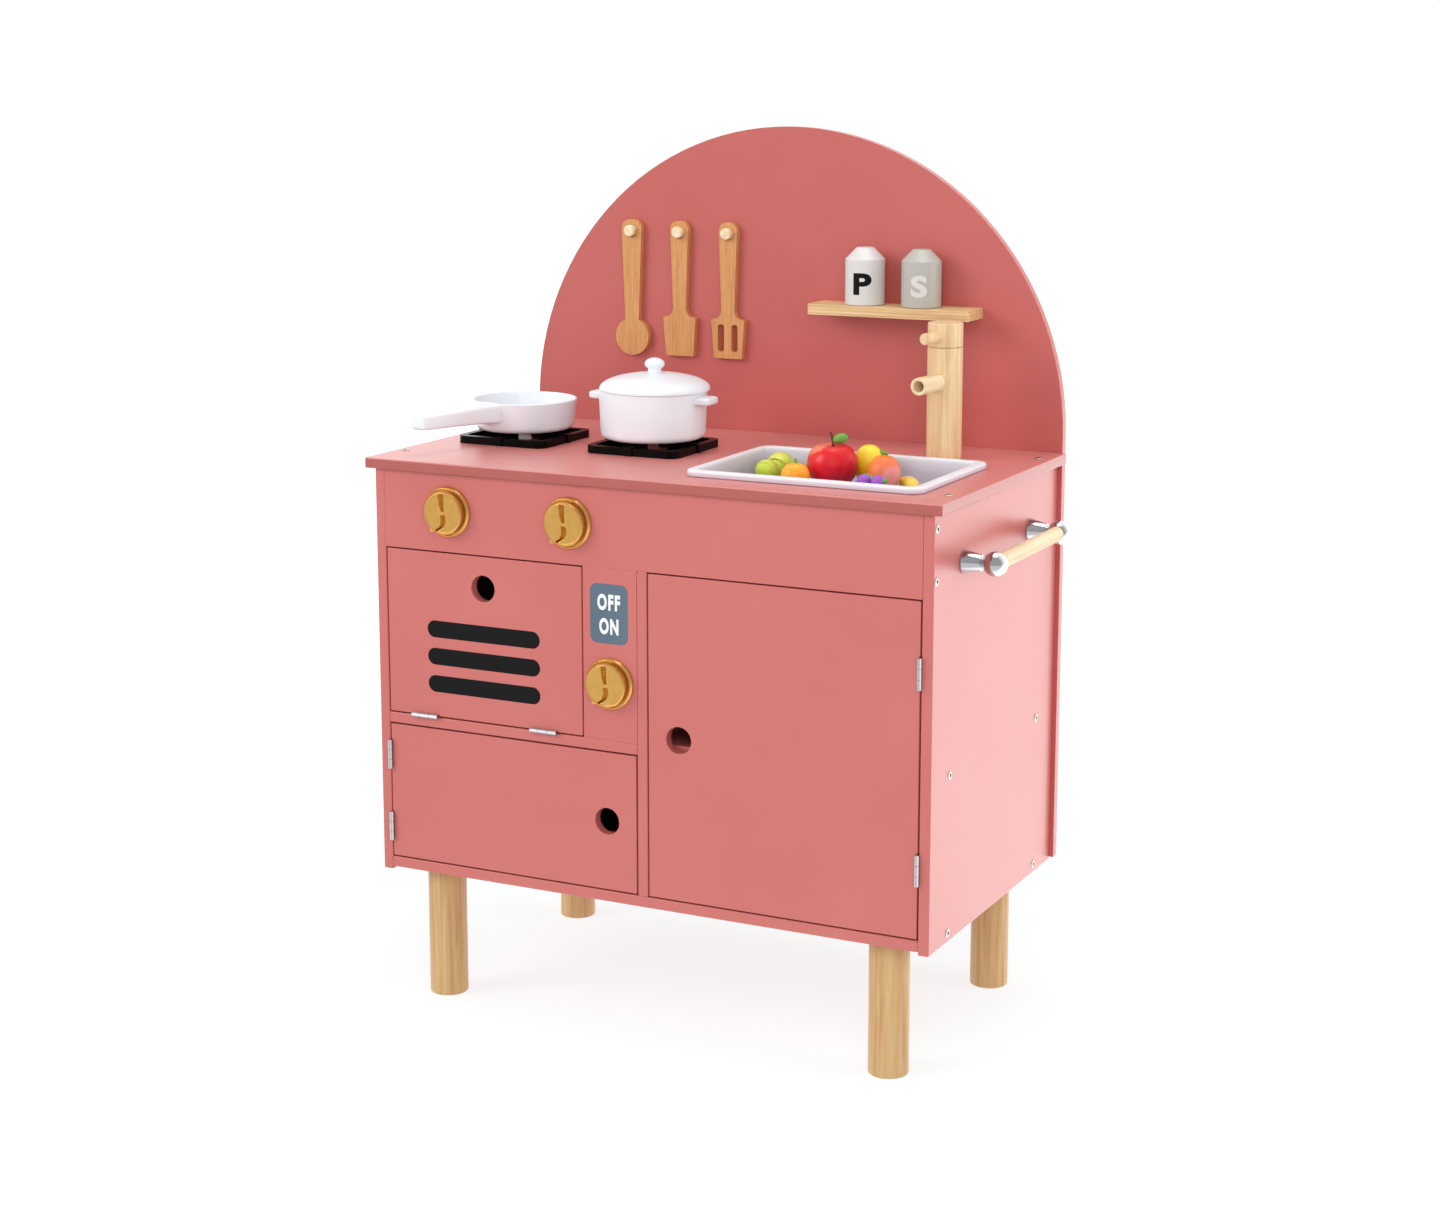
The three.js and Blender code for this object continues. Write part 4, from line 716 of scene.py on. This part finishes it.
def shakers():
    """Two painted shakers with conical shoulders, each with a printed letter."""
    for node, paint, slot, letter, ink in (
        ("pepper_shaker", white_paint, "white_paint", "P", black_ink),
        ("salt_shaker", grey_paint, "grey_paint", "S", pale_ink),
    ):
        low, high = drawn_box(node)
        radius, height = (high[0] - low[0]) / 2, high[2] - low[2]
        corners = [(0, 0), (radius, 0), (radius, SHAKER_WALL)]
        corners += [(SHAKER_CROWN_RADIUS, height), (0, height)]
        points, faces = revolved(filleted(corners, [0, 1.0, 0.8, 1.5, 0]))
        centre = on_the_floor(low, high) + [0, 0, low[2]]
        piece(node + "_turned", (points + centre, faces), paint, node, [node])
        letter_on_shaker(node, letter, centre, radius, ink)


def arrays_of(mesh):
    """A mesh's points as an array and its faces as lists."""
    points = np.zeros(len(mesh.vertices) * 3)
    mesh.vertices.foreach_get("co", points)
    return points.reshape(-1, 3), [list(polygon.vertices) for polygon in mesh.polygons]


def flat_text(words, height, bold=0.0, spacing=1.0):
    """The outlines of words as flat points and faces at z = 0, centred on zero, with capitals of
    that height."""
    curve = bpy.data.curves.new(words, "FONT")
    curve.body = words
    curve.offset = bold
    curve.space_character = spacing
    curve.resolution_u = 6
    holder = bpy.data.objects.new(words, curve)
    bpy.context.scene.collection.objects.link(holder)
    bpy.context.view_layer.update()
    graph = bpy.context.evaluated_depsgraph_get()
    mesh = bpy.data.meshes.new_from_object(holder.evaluated_get(graph))
    points, faces = arrays_of(mesh)
    bpy.data.objects.remove(holder)
    bpy.data.curves.remove(curve)
    bpy.data.meshes.remove(mesh)
    low, high = points.min(0), points.max(0)
    return (points - (low + high) / 2) * (height / (high[1] - low[1])), faces


def letter_on_shaker(node, letter, centre, radius, ink):
    """A bold, wide letter wrapped on a cylinder: a point at width x goes to the angle x / radius
    past the angle that the letter faces, just proud of the paint. The angle 0 faces forwards."""
    points, faces = flat_text(letter, LETTER_HEIGHT, bold=0.04)
    points[:, 0] *= LETTER_STRETCH
    mesh = bpy.data.meshes.new(letter)
    mesh.from_pydata(points.tolist(), [], faces)
    work = bmesh.new()
    work.from_mesh(mesh)
    for position in np.arange(-12, 12.1, 0.75):
        everything = work.verts[:] + work.edges[:] + work.faces[:]
        bmesh.ops.bisect_plane(
            work, geom=everything, plane_co=(position, 0, 0), plane_no=(1, 0, 0), dist=1e-5
        )
    work.to_mesh(mesh)
    work.free()
    flat, faces = arrays_of(mesh)
    bpy.data.meshes.remove(mesh)
    angle = flat[:, 0] / radius + LETTER_TURN
    out = radius + LETTER_PROUD
    height = LETTER_MIDDLE + flat[:, 1]
    wrapped = np.stack([out * np.sin(angle), -out * np.cos(angle), height], axis=-1)
    piece(node + "_letter", (wrapped + centre, faces), ink, node, ())


# Knobs


def step_up(value, start, width):
    """Rises smoothly from 0 to 1 over a width that begins at a start: t t (3 - 2 t)."""
    t = np.clip((value - start) / width, 0, 1)
    return t * t * (3 - 2 * t)


def knob_face(sides=180, rings=96):
    """A knob along +Z. Flange, groove and dial wall are a revolved profile; the dial's face is a
    height over polar coordinates: flat, with two scoops that leave an S-shaped grip. Each scoop
    falls off steeply from its left edge, which is a curve x(y), and rises gently to its right."""
    flange, dial, top = KNOB_FLANGE_RADIUS, KNOB_DIAL_RADIUS, KNOB_HEIGHT
    rim = [(0, 0), (flange, 0), (flange, 1.8), (flange - 1.5, 3.8)]
    groove = [(22.6, 3.8), (22.3, 1.6), (dial, 1.6)]
    wall = [(dial, top - 1.3), (dial - 1.3, top), (dial - 1.9, top)]
    edge = filleted(rim + groove + wall, [0, 0.4, 0.8, 0.5, 0.3, 0.3, 0.2, 0.7, 0.4, 0])
    angle = np.linspace(0, 2 * np.pi, sides, endpoint=False)
    wide, high = edge[1:, 0][:, None], edge[1:, 1][:, None]
    outer = np.stack([wide * np.cos(angle), wide * np.sin(angle), high + 0 * angle], axis=-1)
    face_radius = dial - 1.95
    radius = np.linspace(face_radius, 0.15, rings)[:, None]
    x, y = radius * np.cos(angle), radius * np.sin(angle)
    depth = 0.5 * step_up(face_radius - radius, 0.0, 0.5) + 0 * x
    upper = (3.4, 0.4, 18.6, (2.4, 8.0, 17.8), (-1.2, -3.0, -4.2), (3.4, 5.4, 7.6))
    lower_y = (-20.0, -18.0, -13.5, -8.0, -2.5)
    lower = (3.6, -20.5, -1.6, lower_y, (-13, -9.0, -3.2, -1.2, -1.8), (2.4, 3.6, 5.2, 6.2, 6))
    for deep, start, end, ys, left_edge, breadth in (upper, lower):
        across = x - np.interp(y, ys, left_edge)
        room = np.interp(y, ys, breadth)
        inside = step_up(across, -0.4, 1.0) * (1 - step_up(across, 0.1 * room, 0.95 * room))
        ends = step_up(y, start, 1.6) * (1 - step_up(y, end - 1.0, 1.0))
        depth = np.maximum(depth, 0.5 + deep * inside * ends)
    shoulder = 1 - step_up(radius, dial - 2.9, 0.9)
    depth = np.where(y < -12, depth, np.minimum(depth, 0.5 + 4 * shoulder))
    depth *= step_up(face_radius - radius, -0.05, 0.45)
    face = np.stack([x, y, top - depth], axis=-1)
    return skin(np.concatenate([outer, face], axis=0))


def knobs():
    """Three gold knobs that face forwards, each with a small pointed lip at its lower left."""
    radius, end = KNOB_SPINDLE_RADIUS, KNOB_SPINDLE_END
    profile = filleted([(0, end), (radius, end), (radius, 1), (0, 1)], [0, 0.6, 0, 0])
    spindle = revolved(profile, 32)
    reach = np.array([17.0, 19.5, 21.0, 22.4, 23.4])[:, None]
    path = reach * [-0.59, -0.807, 0.0] + [0.0, 0.0, 9.4]
    lip = swept(path, [8.0, 7.0, 5.2, 3.0, 1.0], [2.0, 2.2, 2.2, 1.8, 1.0], 0.8, 24)
    points, faces = together(knob_face(), spindle, lip)
    for node in ("left_hob_knob", "right_hob_knob", "oven_knob"):
        low, high = drawn_box(node)
        base = np.array([(low[0] + high[0]) / 2, KNOB_BACK_Y, (low[2] + high[2]) / 2])
        moved = (facing_front(points) + base, faces)
        piece(node + "_dial", moved, gold, node, [node], sharp=55)


# Cookware and sink


def pan():
    """A revolved pan and a swept block handle that thins and rises a little to its end."""
    low, high = drawn_box("pan")
    top = high[2] - low[2]
    corners = [(0, 0), (49, 0), (53.2, top), (50.4, top), (46.2, 3), (0, 3)]
    vessel = revolved(filleted(corners, [0, 8, 1.3, 1.3, 7, 0], 8), 128)
    along = np.array([47.5, 52.5, 56, 60, 66, 74, 90, 120, 146, 150, 151.6, 152])
    widths = np.array([30, 29.6, 26, 22.6, 20, 19.2, 19, 19, 19, 18, 15.6, 10])
    heights = np.array([19.6, 19.6, 19.4, 19, 18.2, 17.4, 16.4, 15, 14.2, 13.6, 11.5, 7])
    rise = np.interp(along, [47, 152], [0, 1.0])
    path = np.stack([0 * along, -along, top - 10 + rise], axis=-1)
    points, faces = together(vessel, swept(path, widths, heights, 0.32, 48))
    shell = (turned_about_z(points, PAN_TURN) + [PAN_X, HOB_Y, low[2]], faces)
    piece("pan_moulding", shell, white_plastic, "pan", ["pan"], sharp=50)


def pot_and_lid():
    """A revolved pot with two swept tabs, and a lid: a spigot, a dome that is a quarter of an
    ellipse, a neck, and a knob that is most of an ellipse."""
    low, high = drawn_box("pot")
    foot, top = low[2], high[2] - low[2]
    corners = [(0, 0), (51.5, 0), (53.6, top), (50.8, top), (48.6, 3), (0, 3)]
    shells = [revolved(filleted(corners, [0, 8, 1.0, 1.0, 7, 0], 8), 128)]
    along = np.array([51.5, 54, 57, 61, 64.5, 66.2, 66.9])
    widths = np.array([27, 26, 25, 25, 23.5, 20.5, 15])
    heights = np.array([8.6, 8.2, 8, 8, 7.6, 6.6, 4.6])
    for side in (-1, 1):
        path = np.stack([side * along, 0 * along, top - 7.6 + 0 * along], axis=-1)
        shells.append(swept(path, widths, heights, 0.42, 48))
    points, faces = together(*shells)
    shell = (points + [POT_X, HOB_Y, foot], faces)
    piece("pot_moulding", shell, white_plastic, "pot", ["pot"])

    low, high = drawn_box("pot_lid")
    seam = foot + top + SEAT_GAP
    turn = np.linspace(0, 1, 26)[:-1] * (math.pi / 2)
    inner = np.stack([45.0 * np.sin(turn), 14.0 * np.cos(turn) + 0.4], axis=-1)
    spigot_corners = [(45, 0.4), (45, -3), (48, -3), (48, 0), (54.5, 0), (54.5, 1.5)]
    spigot = filleted(spigot_corners, [0, 0.4, 0.8, 0.3, 0.5, 0])
    dome = np.stack([54.5 * np.cos(turn), 1.5 + 15.3 * np.sin(turn)], axis=-1)
    dome = dome[dome[:, 0] > 9.5]
    neck = filleted([(9.3, 16.6), (6.5, 16.8), (6.5, 21.0)], [0, 2.4, 0], 8)
    knob_turn = np.linspace(-0.84, math.pi / 2, 26)
    knob_centre = 25.4
    knob_rise = high[2] - seam - knob_centre
    knob_radius = 9.8 * np.cos(knob_turn)
    knob = np.stack([knob_radius, knob_centre + knob_rise * np.sin(knob_turn)], axis=-1)
    profile = np.vstack([inner, spigot[1:-1], dome, neck[:-1], knob])
    profile[[0, -1], 0] = 0.0
    points, faces = revolved(profile, 128)
    shell = (points + [(low[0] + high[0]) / 2, HOB_Y, seam], faces)
    piece("pot_lid_moulding", shell, white_plastic, "pot_lid", ["pot_lid"])


def rounded_ring(width, length, corner, steps=14):
    """Points round a rectangle with round corners, counterclockwise from above."""
    x, y = width / 2 - corner, length / 2 - corner
    quarter = np.linspace(0, np.pi / 2, steps)
    parts = []
    for number, (cx, cy) in enumerate(((x, y), (-x, y), (-x, -y), (x, -y))):
        turn = quarter + number * np.pi / 2
        parts.append(np.stack([cx + corner * np.cos(turn), cy + corner * np.sin(turn)], axis=-1))
    return np.concatenate(parts)


def sink_basin():
    """A moulded basin: a section (inset, height, corner radius) carried round a rectangle with
    round corners."""
    node = "sink_basin"
    low, high = drawn_box(node)
    centre = on_the_floor(low, high) + [0, 0, WORKTOP + SEAT_GAP]
    width, length = high[0] - low[0], high[1] - low[1]
    rim = 6.0
    outside = [(19, -22.4, 8), (11.2, -22.4, 11), (6.1, 0, 11.4), (0, 0, 12)]
    inside = [(0, rim, 12), (8.5, rim, 9), (13.5, -20, 8), (20, -20, 6)]
    rings = []
    for inset, height, corner in filleted(outside + inside, [0, 5, 0.5, 0.8, 3.0, 1.8, 7, 0], 8):
        ring = rounded_ring(width - 2 * inset, length - 2 * inset, corner)
        rings.append(np.column_stack([ring, np.full(len(ring), height)]))
    points, faces = skin(np.array(rings))
    # The basin's plastic carries painted shade below the rim.
    shell, plastic = (points + centre, faces), basin_plastic_with_painted_shade(WORKTOP + rim)
    piece(node + "_moulding", shell, plastic, node, [node], sharp=60)


# Play food


def ball(wide, deep, high, top_dimple=0.0, bottom_dimple=0.0, lobes=0, sides=64, full=1):
    """A round body with these half sizes: r = sin t ^ full, z = -cos t. Its poles sink in a smooth
    dimple, and lobes swell gently round them. Below 1, full makes the shoulders squarer."""
    t = np.linspace(0.02, np.pi - 0.02, 40)
    angle = np.linspace(0, 2 * np.pi, sides, endpoint=False)
    top = np.exp(-(((np.pi - t) / 0.42) ** 2)) * top_dimple
    bottom = np.exp(-((t / 0.42) ** 2)) * bottom_dimple
    wave = 1 + 0.035 * np.cos(lobes * angle)[None] * (np.cos(t) ** 2)[:, None] if lobes else 1
    x = wide * np.sin(t)[:, None] ** full * np.cos(angle) * wave
    y = deep * np.sin(t)[:, None] ** full * np.sin(angle) * wave
    z = (-high * np.cos(t) - top + bottom)[:, None] + 0 * angle
    return skin(np.stack([x, y, z], axis=-1))


def leaf_shape(length, width, thickness, base, direction, tilt):
    """A plump leaf: an ellipsoid drawn out to a point, set along a direction and tilted up."""
    points, faces = ball(length / 2, width / 2, thickness / 2, sides=24)
    share = points[:, 0] / (length / 2)
    points[:, 1] *= 1 - 0.45 * np.clip(share, 0, 1)
    points[:, 2] += 0.12 * length * (1 - share**2) * tilt
    points[:, 0] += length / 2
    points[:, 2] += points[:, 0] * math.tan(tilt)
    heading = math.degrees(math.atan2(direction[1], direction[0]))
    return turned_about_z(points, heading) + np.asarray(base), faces


def stem_shape(base, tip, thick, bend=(0, 0, 0)):
    """A stem that tapers to 0.7 of its thickness along a line bent aside in its middle."""
    steps = 14
    share = np.linspace(0, 1, steps)[:, None]
    base, tip = np.asarray(base, float), np.asarray(tip, float)
    path = base * (1 - share) + tip * share + np.asarray(bend) * (4 * share * (1 - share))
    path[:, 0] += 1e-4 * np.arange(steps)
    size = thick * (1 - 0.3 * share[:, 0])
    return swept(path, size, size, 1.0, 16)


def basin_floor():
    """The height on which the fruit lies."""
    return drawn_box("apple")[0][2]


def fruit_middle(node, rise):
    """A point above the middle of a fruit's foot, at a rise above the basin's floor."""
    return on_the_floor(*drawn_box(node)) + [0, 0, basin_floor() + rise]


def apple():
    """A lobed apple with squared shoulders, a bent stem and one leaf."""
    low, high = drawn_box("apple")
    at = np.array([low[0] + 24.5, (low[1] + high[1]) / 2, low[2] + 22.4])
    # The apple's own crimson, deeper low as painted shade and paler towards the top left as a
    # painted highlight.
    tones = (0.2, "#A40C26"), (0.55, "#D0152A"), (0.98, "#E02C2C"), (1.2, "#EC7E60")
    apple_red_with_painted_light = blended_fruit("painted apple with painted highlight and shade", at, (-0.45, -0.1, 1.0), 24, *tones)
    points, faces = ball(24.3, 24.3, 22.2, 5.0, 3.0, 5, full=0.82)
    piece("apple_body", (points + at, faces), apple_red_with_painted_light, "apple", ["apple"])
    top = at + [0, 0, 15.5]
    stem = stem_shape(top, top + [-2.5, 0, 15.0], 2.8, (1.2, 0, 0))
    piece("apple_stem", stem, stem_brown, "apple", ())
    leaf = leaf_shape(15.0, 11.5, 10.0, top + [-0.2, 0, 7.6], (0.95, 0.25), 0.16)
    piece("apple_leaf", leaf, leaf_green, "apple", ())


def pear():
    """A lying pear: its radius blends two circles and a waist, (big^4 + small^4 + waist^4)^1/4."""
    low, high = drawn_box("pear")
    middle = (low + high) / 2
    tones = (0.1, "#8FB82A"), (0.6, "#B8CC38"), (1.1, "#D6DC62")
    green = blended_fruit("painted pear", middle, (0.1, 0.0, 1.0), 13, *tones, roughness=0.36)
    half = (high[1] - low[1]) / 2
    along = half * (2 * np.linspace(0.03, 0.97, 44) - 1)
    big, small = 13.0, 11.5
    big_at, small_at = half - big, small - half
    squared_big = np.clip(big**2 - (along - big_at) ** 2, 0, None)
    squared_small = np.clip(small**2 - (along - small_at) ** 2, 0, None)
    waist = 9.8 * np.exp(-(((along - (big_at + small_at) / 2) / 9.0) ** 2))
    radius = (squared_big**2 + squared_small**2 + waist**4) ** 0.25
    height = np.maximum(radius, 10.6) + low[2]
    path = np.stack([middle[0] + 0 * along, middle[1] + along, height], -1)[::-1]
    shell = swept(path, 2 * radius[::-1], 2 * radius[::-1], 1.0, 48)
    piece("pear_body", shell, green, "pear", ["pear"])


def orange():
    """A small orange with a green cap."""
    at = fruit_middle("orange", 14.0)
    tones = (0.1, "#EE8216"), (0.6, "#F59A24"), (1.1, "#FAB23A")
    amber = blended_fruit("painted orange", at, (-0.3, 0, 1.0), 14, *tones, speckle=0.1)
    points, faces = ball(14, 14, 14, 1.2, 0.4)
    piece("orange_body", (points + at, faces), amber, "orange", ["orange"])
    cap = stem_shape(at + [0, 0, 12.2], at + [0.3, 0, 17.0], 3.6)
    piece("orange_stem", cap, leaf_green, "orange", ())


def lemon():
    """A lemon that stands on its end, with a green tip to its right."""
    at = fruit_middle("lemon", 19.5)
    tones = (0.3, "#EFA71E"), (0.7, "#F3C826"), (1.05, "#F4DF48")
    yellow = blended_fruit("painted lemon", at, (0, 0, 1.0), 19, *tones, speckle=0.12)
    points, faces = ball(15, 15, 19.4, 0.6, 0.4)
    piece("lemon_body", (points + at, faces), yellow, "lemon", ["lemon"])
    tip = leaf_shape(9, 6, 4, at + [9.5, 1.0, 13.5], (1.0, 0.2), -0.35)
    piece("lemon_tip", tip, leaf_green, "lemon", ())


def peach():
    """A peach that blushes towards its front right."""
    at = fruit_middle("peach", 17.8)
    tones = (0.2, "#F3A64A"), (0.55, "#EF7F3A"), (0.9, "#EC7A56"), (1.15, "#EC9490")
    blush = blended_fruit("painted peach", at, (0.75, -0.5, -0.35), 16.5, *tones, roughness=0.42)
    points, faces = ball(15.6, 15.6, 17.6, 1.6, 0.8)
    piece("peach_body", (points + at, faces), blush, "peach", ["peach"])


def grapes():
    """Nine grapes: seven on the floor in rows of two, three and two, and two on top."""
    middle = fruit_middle("grapes", 0)
    tones = (0.1, "#541C7A"), (0.6, "#77339F"), (1.1, "#9F5CC2")
    purple = blended_fruit("painted grapes", middle + [0, 0, 10], (0, 0, 1), 11, *tones)
    pitch = 12.6 * 0.92
    places = [
        ((number - (count - 1) / 2) * pitch, row * pitch * 0.87, 6.3)
        for row, count in ((-1, 2), (0, 3), (1, 2))
        for number in range(count)
    ]
    places += [(share * pitch, -0.3 * pitch, 7.2 + 0.9 * pitch) for share in (-0.5, 0.7)]
    points, faces = ball(6.6, 6.6, 6.6, sides=32)
    bunch = together(*[(points + middle + place, faces) for place in places])
    piece("grapes_body", bunch, purple, "grapes", ["grapes"])
    leaves = together(
        leaf_shape(12, 10, 6, middle + [-8, 4, 23], (0.95, 0.1), -0.5),
        leaf_shape(10, 8, 5, middle + [8, -3, 19], (0.95, 0.1), 0.0),
    )
    piece("grape_leaves", leaves, leaf_green, "grapes", ())


def banana():
    """A small banana: a tube along a parabola, its thickness a flattened sine."""
    low, high = drawn_box("banana")
    tones = (0.1, "#E8BE1E"), (0.6, "#F1D03C"), (1.1, "#F4DD6A")
    mellow = blended_fruit("painted banana", (low + high) / 2, (0, 0, 1), 8, *tones)
    length, thick, bend, turn = 48, 14, 4, -0.92
    t = np.linspace(0, 1, 40)
    local = np.stack([(t - 0.5) * length, bend * (1 - (2 * t - 1) ** 2), 0 * t], axis=-1)
    size = thick * (0.25 + 0.75 * np.sin(np.clip(t, 0.001, 0.999) ** 0.75 * np.pi) ** 0.7)
    path = turned_about_z(local, math.degrees(turn)) + [205.0, 151, basin_floor() + 7.2]
    shell = swept(path, size, size, 0.92, 40)
    piece("banana_body", shell, mellow, "banana", ["banana"])
    tip = stem_shape(path[-1], path[-1] + (path[-1] - path[-2]) * 2.2, 4.0)
    piece("banana_tip", tip, stem_brown, "banana", ())


# Prints and screws


def plate(size, thickness, centre):
    """A thin plate (width, height, corner radius) that faces forwards, its back at the centre."""
    ring = rounded_ring(*size, 16)
    back = np.column_stack([ring, np.zeros(len(ring))])
    front = np.column_stack([ring, np.full(len(ring), thickness)])
    points, faces = skin(np.array([back, front]))
    return facing_front(points) + np.asarray(centre), faces


def prints():
    """Three dark bars that stand for the oven's grille, and a printed label with OFF and ON."""
    front = drawn_box("oven_door")[0][1]
    for number, height in enumerate(GRILLE_BARS):
        shell = plate(GRILLE_BAR, PRINT_PROUD, (GRILLE_X, front, height))
        piece(f"oven_bar_{number + 1}", shell, black_ink, "oven_door", ())
    shell = plate(LABEL, PRINT_PROUD, (LABEL_X, front, LABEL_Z))
    piece("switch_label", shell, slate_ink, "cabinet", ())
    for words, height in LABEL_WORDS:
        points, faces = flat_text(words, LABEL_LETTERS, bold=0.045, spacing=1.2)
        points[:, 0] *= LABEL_STRETCH
        points[:, 2] = PRINT_PROUD + 0.07
        shell = (facing_front(points) + [LABEL_X, front, height], faces)
        piece(f"label_{words}", shell, white_ink, "cabinet", ())


def screws():
    """Low domed screw heads in the worktop and the right side; a black disc paints shade in each
    recess.
    """
    wide, high = SCREW_RADIUS, SCREW_HEIGHT
    corners = [(0, 0.02), (wide, 0.02), (wide, 0.3), (wide - 1.1, high), (0, high)]
    head = filleted(corners, [0, 0.05, 0.15, 0.5, 0])
    # A thin black disc on the head: painted shade where the recess would be dark.
    recess = [(0, high), (1.9, high), (1.9, high + 0.06), (0, high + 0.06)]
    side = drawn_box("right_side_panel")[1][0]
    for name, profile, material in (
        ("screw_heads", head, screw_steel),
        ("screw_recess_painted_shade", recess, black_plastic),
    ):
        points, faces = revolved(profile, 40)
        shells = [(points + [x, y, WORKTOP], faces) for x, y in TOP_SCREWS]
        shells += [(facing_right(points) + [side, y, z], faces) for y, z in SIDE_SCREWS]
        piece(name, together(*shells), material, "cabinet", ())


# Stage


def glow(tree, depth, front_to_back, seen, unseen, brightest):
    """A strength: one for the camera, one for the light that bounces, and for reflections a rise
    from the front to the back, so that metal and sheen show a bright room behind."""
    path = add(tree, "ShaderNodeLightPath").outputs
    camera_or_not = {"Value": path["Is Camera Ray"], "To Min": unseen, "To Max": seen}
    plain = add(tree, "ShaderNodeMapRange", camera_or_not).outputs["Result"]
    start, end = front_to_back
    span = {"Value": depth, "From Min": start, "From Max": end}
    rise = {"To Min": FRONT_MIRRORED, "To Max": brightest}
    behind = add(tree, "ShaderNodeMapRange", span | rise).outputs["Result"]
    more = add(tree, "ShaderNodeMath", {0: behind, 1: unseen}, operation="SUBTRACT")
    mirrored = {0: path["Is Glossy Ray"], 1: more.outputs["Value"], 2: plain}
    return add(tree, "ShaderNodeMath", mirrored, operation="MULTIPLY_ADD").outputs["Value"]


def studio_floor():
    """A white floor that takes the kitchen's soft shadow and turns to pure white further out."""
    mesh = bpy.data.meshes.new("floor")
    far = FLOOR_HALF
    corners = [(-far, -far, 0), (far, -far, 0), (far, far, 0), (-far, far, 0)]
    mesh.from_pydata(corners, [], [(0, 1, 2, 3)])
    floor = bpy.data.objects.new("floor", mesh)
    bpy.context.scene.collection.objects.link(floor)
    material, tree, at = started("white sweep")
    reach = add(tree, "ShaderNodeVectorMath", {0: at}, operation="LENGTH").outputs["Value"]
    span = {"Value": reach, "From Min": 0.7, "From Max": 2.2, "To Min": FLOOR_SEEN, "To Max": 1.0}
    whiter = add(tree, "ShaderNodeMapRange", span).outputs["Result"]
    depth = add(tree, "ShaderNodeSeparateXYZ", {0: at}).outputs["Y"]
    strength = glow(tree, depth, (-0.6, 0.3), whiter, FLOOR_BOUNCE, FLOOR_MIRRORED)
    light = add(tree, "ShaderNodeEmission", {"Color": linear("#FFFFFF"), "Strength": strength})
    matte = add(tree, "ShaderNodeBsdfDiffuse", {"Color": linear("#8E9596")})
    both = add(tree, "ShaderNodeAddShader", {0: matte.outputs["BSDF"], 1: light.outputs[0]})
    add(tree, "ShaderNodeOutputMaterial", {"Surface": both.outputs["Shader"]})
    floor.data.materials.append(material)


def studio_world():
    """A white room all round, dimmer as a light than it looks."""
    world = bpy.data.worlds.new("studio")
    world.use_nodes = True
    tree = world.node_tree
    tree.nodes.clear()
    direction = add(tree, "ShaderNodeTexCoord").outputs["Generated"]
    depth = add(tree, "ShaderNodeSeparateXYZ", {0: direction}).outputs["Y"]
    strength = glow(tree, depth, (-0.25, 0.5), 1.0, AMBIENT, SWEEP_MIRRORED)
    white = {"Color": linear("#FFFFFF"), "Strength": strength}
    back = add(tree, "ShaderNodeBackground", white).outputs["Background"]
    add(tree, "ShaderNodeOutputWorld", {"Surface": back})
    bpy.context.scene.world = world


def aimed(made, place, forwards):
    """Puts a lamp or camera at a place, looking forwards."""
    made.location = place
    made.rotation_mode = "QUATERNION"
    made.rotation_quaternion = Vector(forwards).to_track_quat("-Z", "Y")


def lamps():
    """A soft key from the left, a fill from the front right, a top light and a right panel."""
    for name, place, target, size, power in LAMPS:
        lamp = bpy.data.lights.new(name, "AREA")
        lamp.shape = "RECTANGLE"
        lamp.size, lamp.size_y = size
        lamp.energy = power
        holder = bpy.data.objects.new(name, lamp)
        bpy.context.scene.collection.objects.link(holder)
        holder.visible_camera = False
        holder.visible_glossy = name not in LAMPS_NOT_MIRRORED
        aimed(holder, place, Vector(target) - Vector(place))


def camera():
    """The photograph's angle: from the front right, a little above."""
    data = bpy.data.cameras.new("camera")
    data.sensor_width = SENSOR_MM
    data.lens = CAMERA_FOCAL_PX / PHOTO_WIDTH_PX * SENSOR_MM
    data.shift_y = CAMERA_SHIFT
    data.clip_start, data.clip_end = 0.05, 60
    made = bpy.data.objects.new("camera", data)
    bpy.context.scene.collection.objects.link(made)
    level = math.cos(CAMERA_PITCH)
    left, ahead = math.sin(CAMERA_YAW) * level, math.cos(CAMERA_YAW) * level
    aimed(made, placed(CAMERA_PLACE), (-left, ahead, -math.sin(CAMERA_PITCH)))
    bpy.context.scene.camera = made


finish_boards()
turned_wood()
faucet()
towel_rail()
shakers()
knobs()
pan()
pot_and_lid()
sink_basin()
apple()
pear()
orange()
lemon()
peach()
grapes()
banana()
prints()
screws()
studio_floor()
studio_world()
lamps()
camera()
bpy.context.scene.view_settings.view_transform = "Standard"
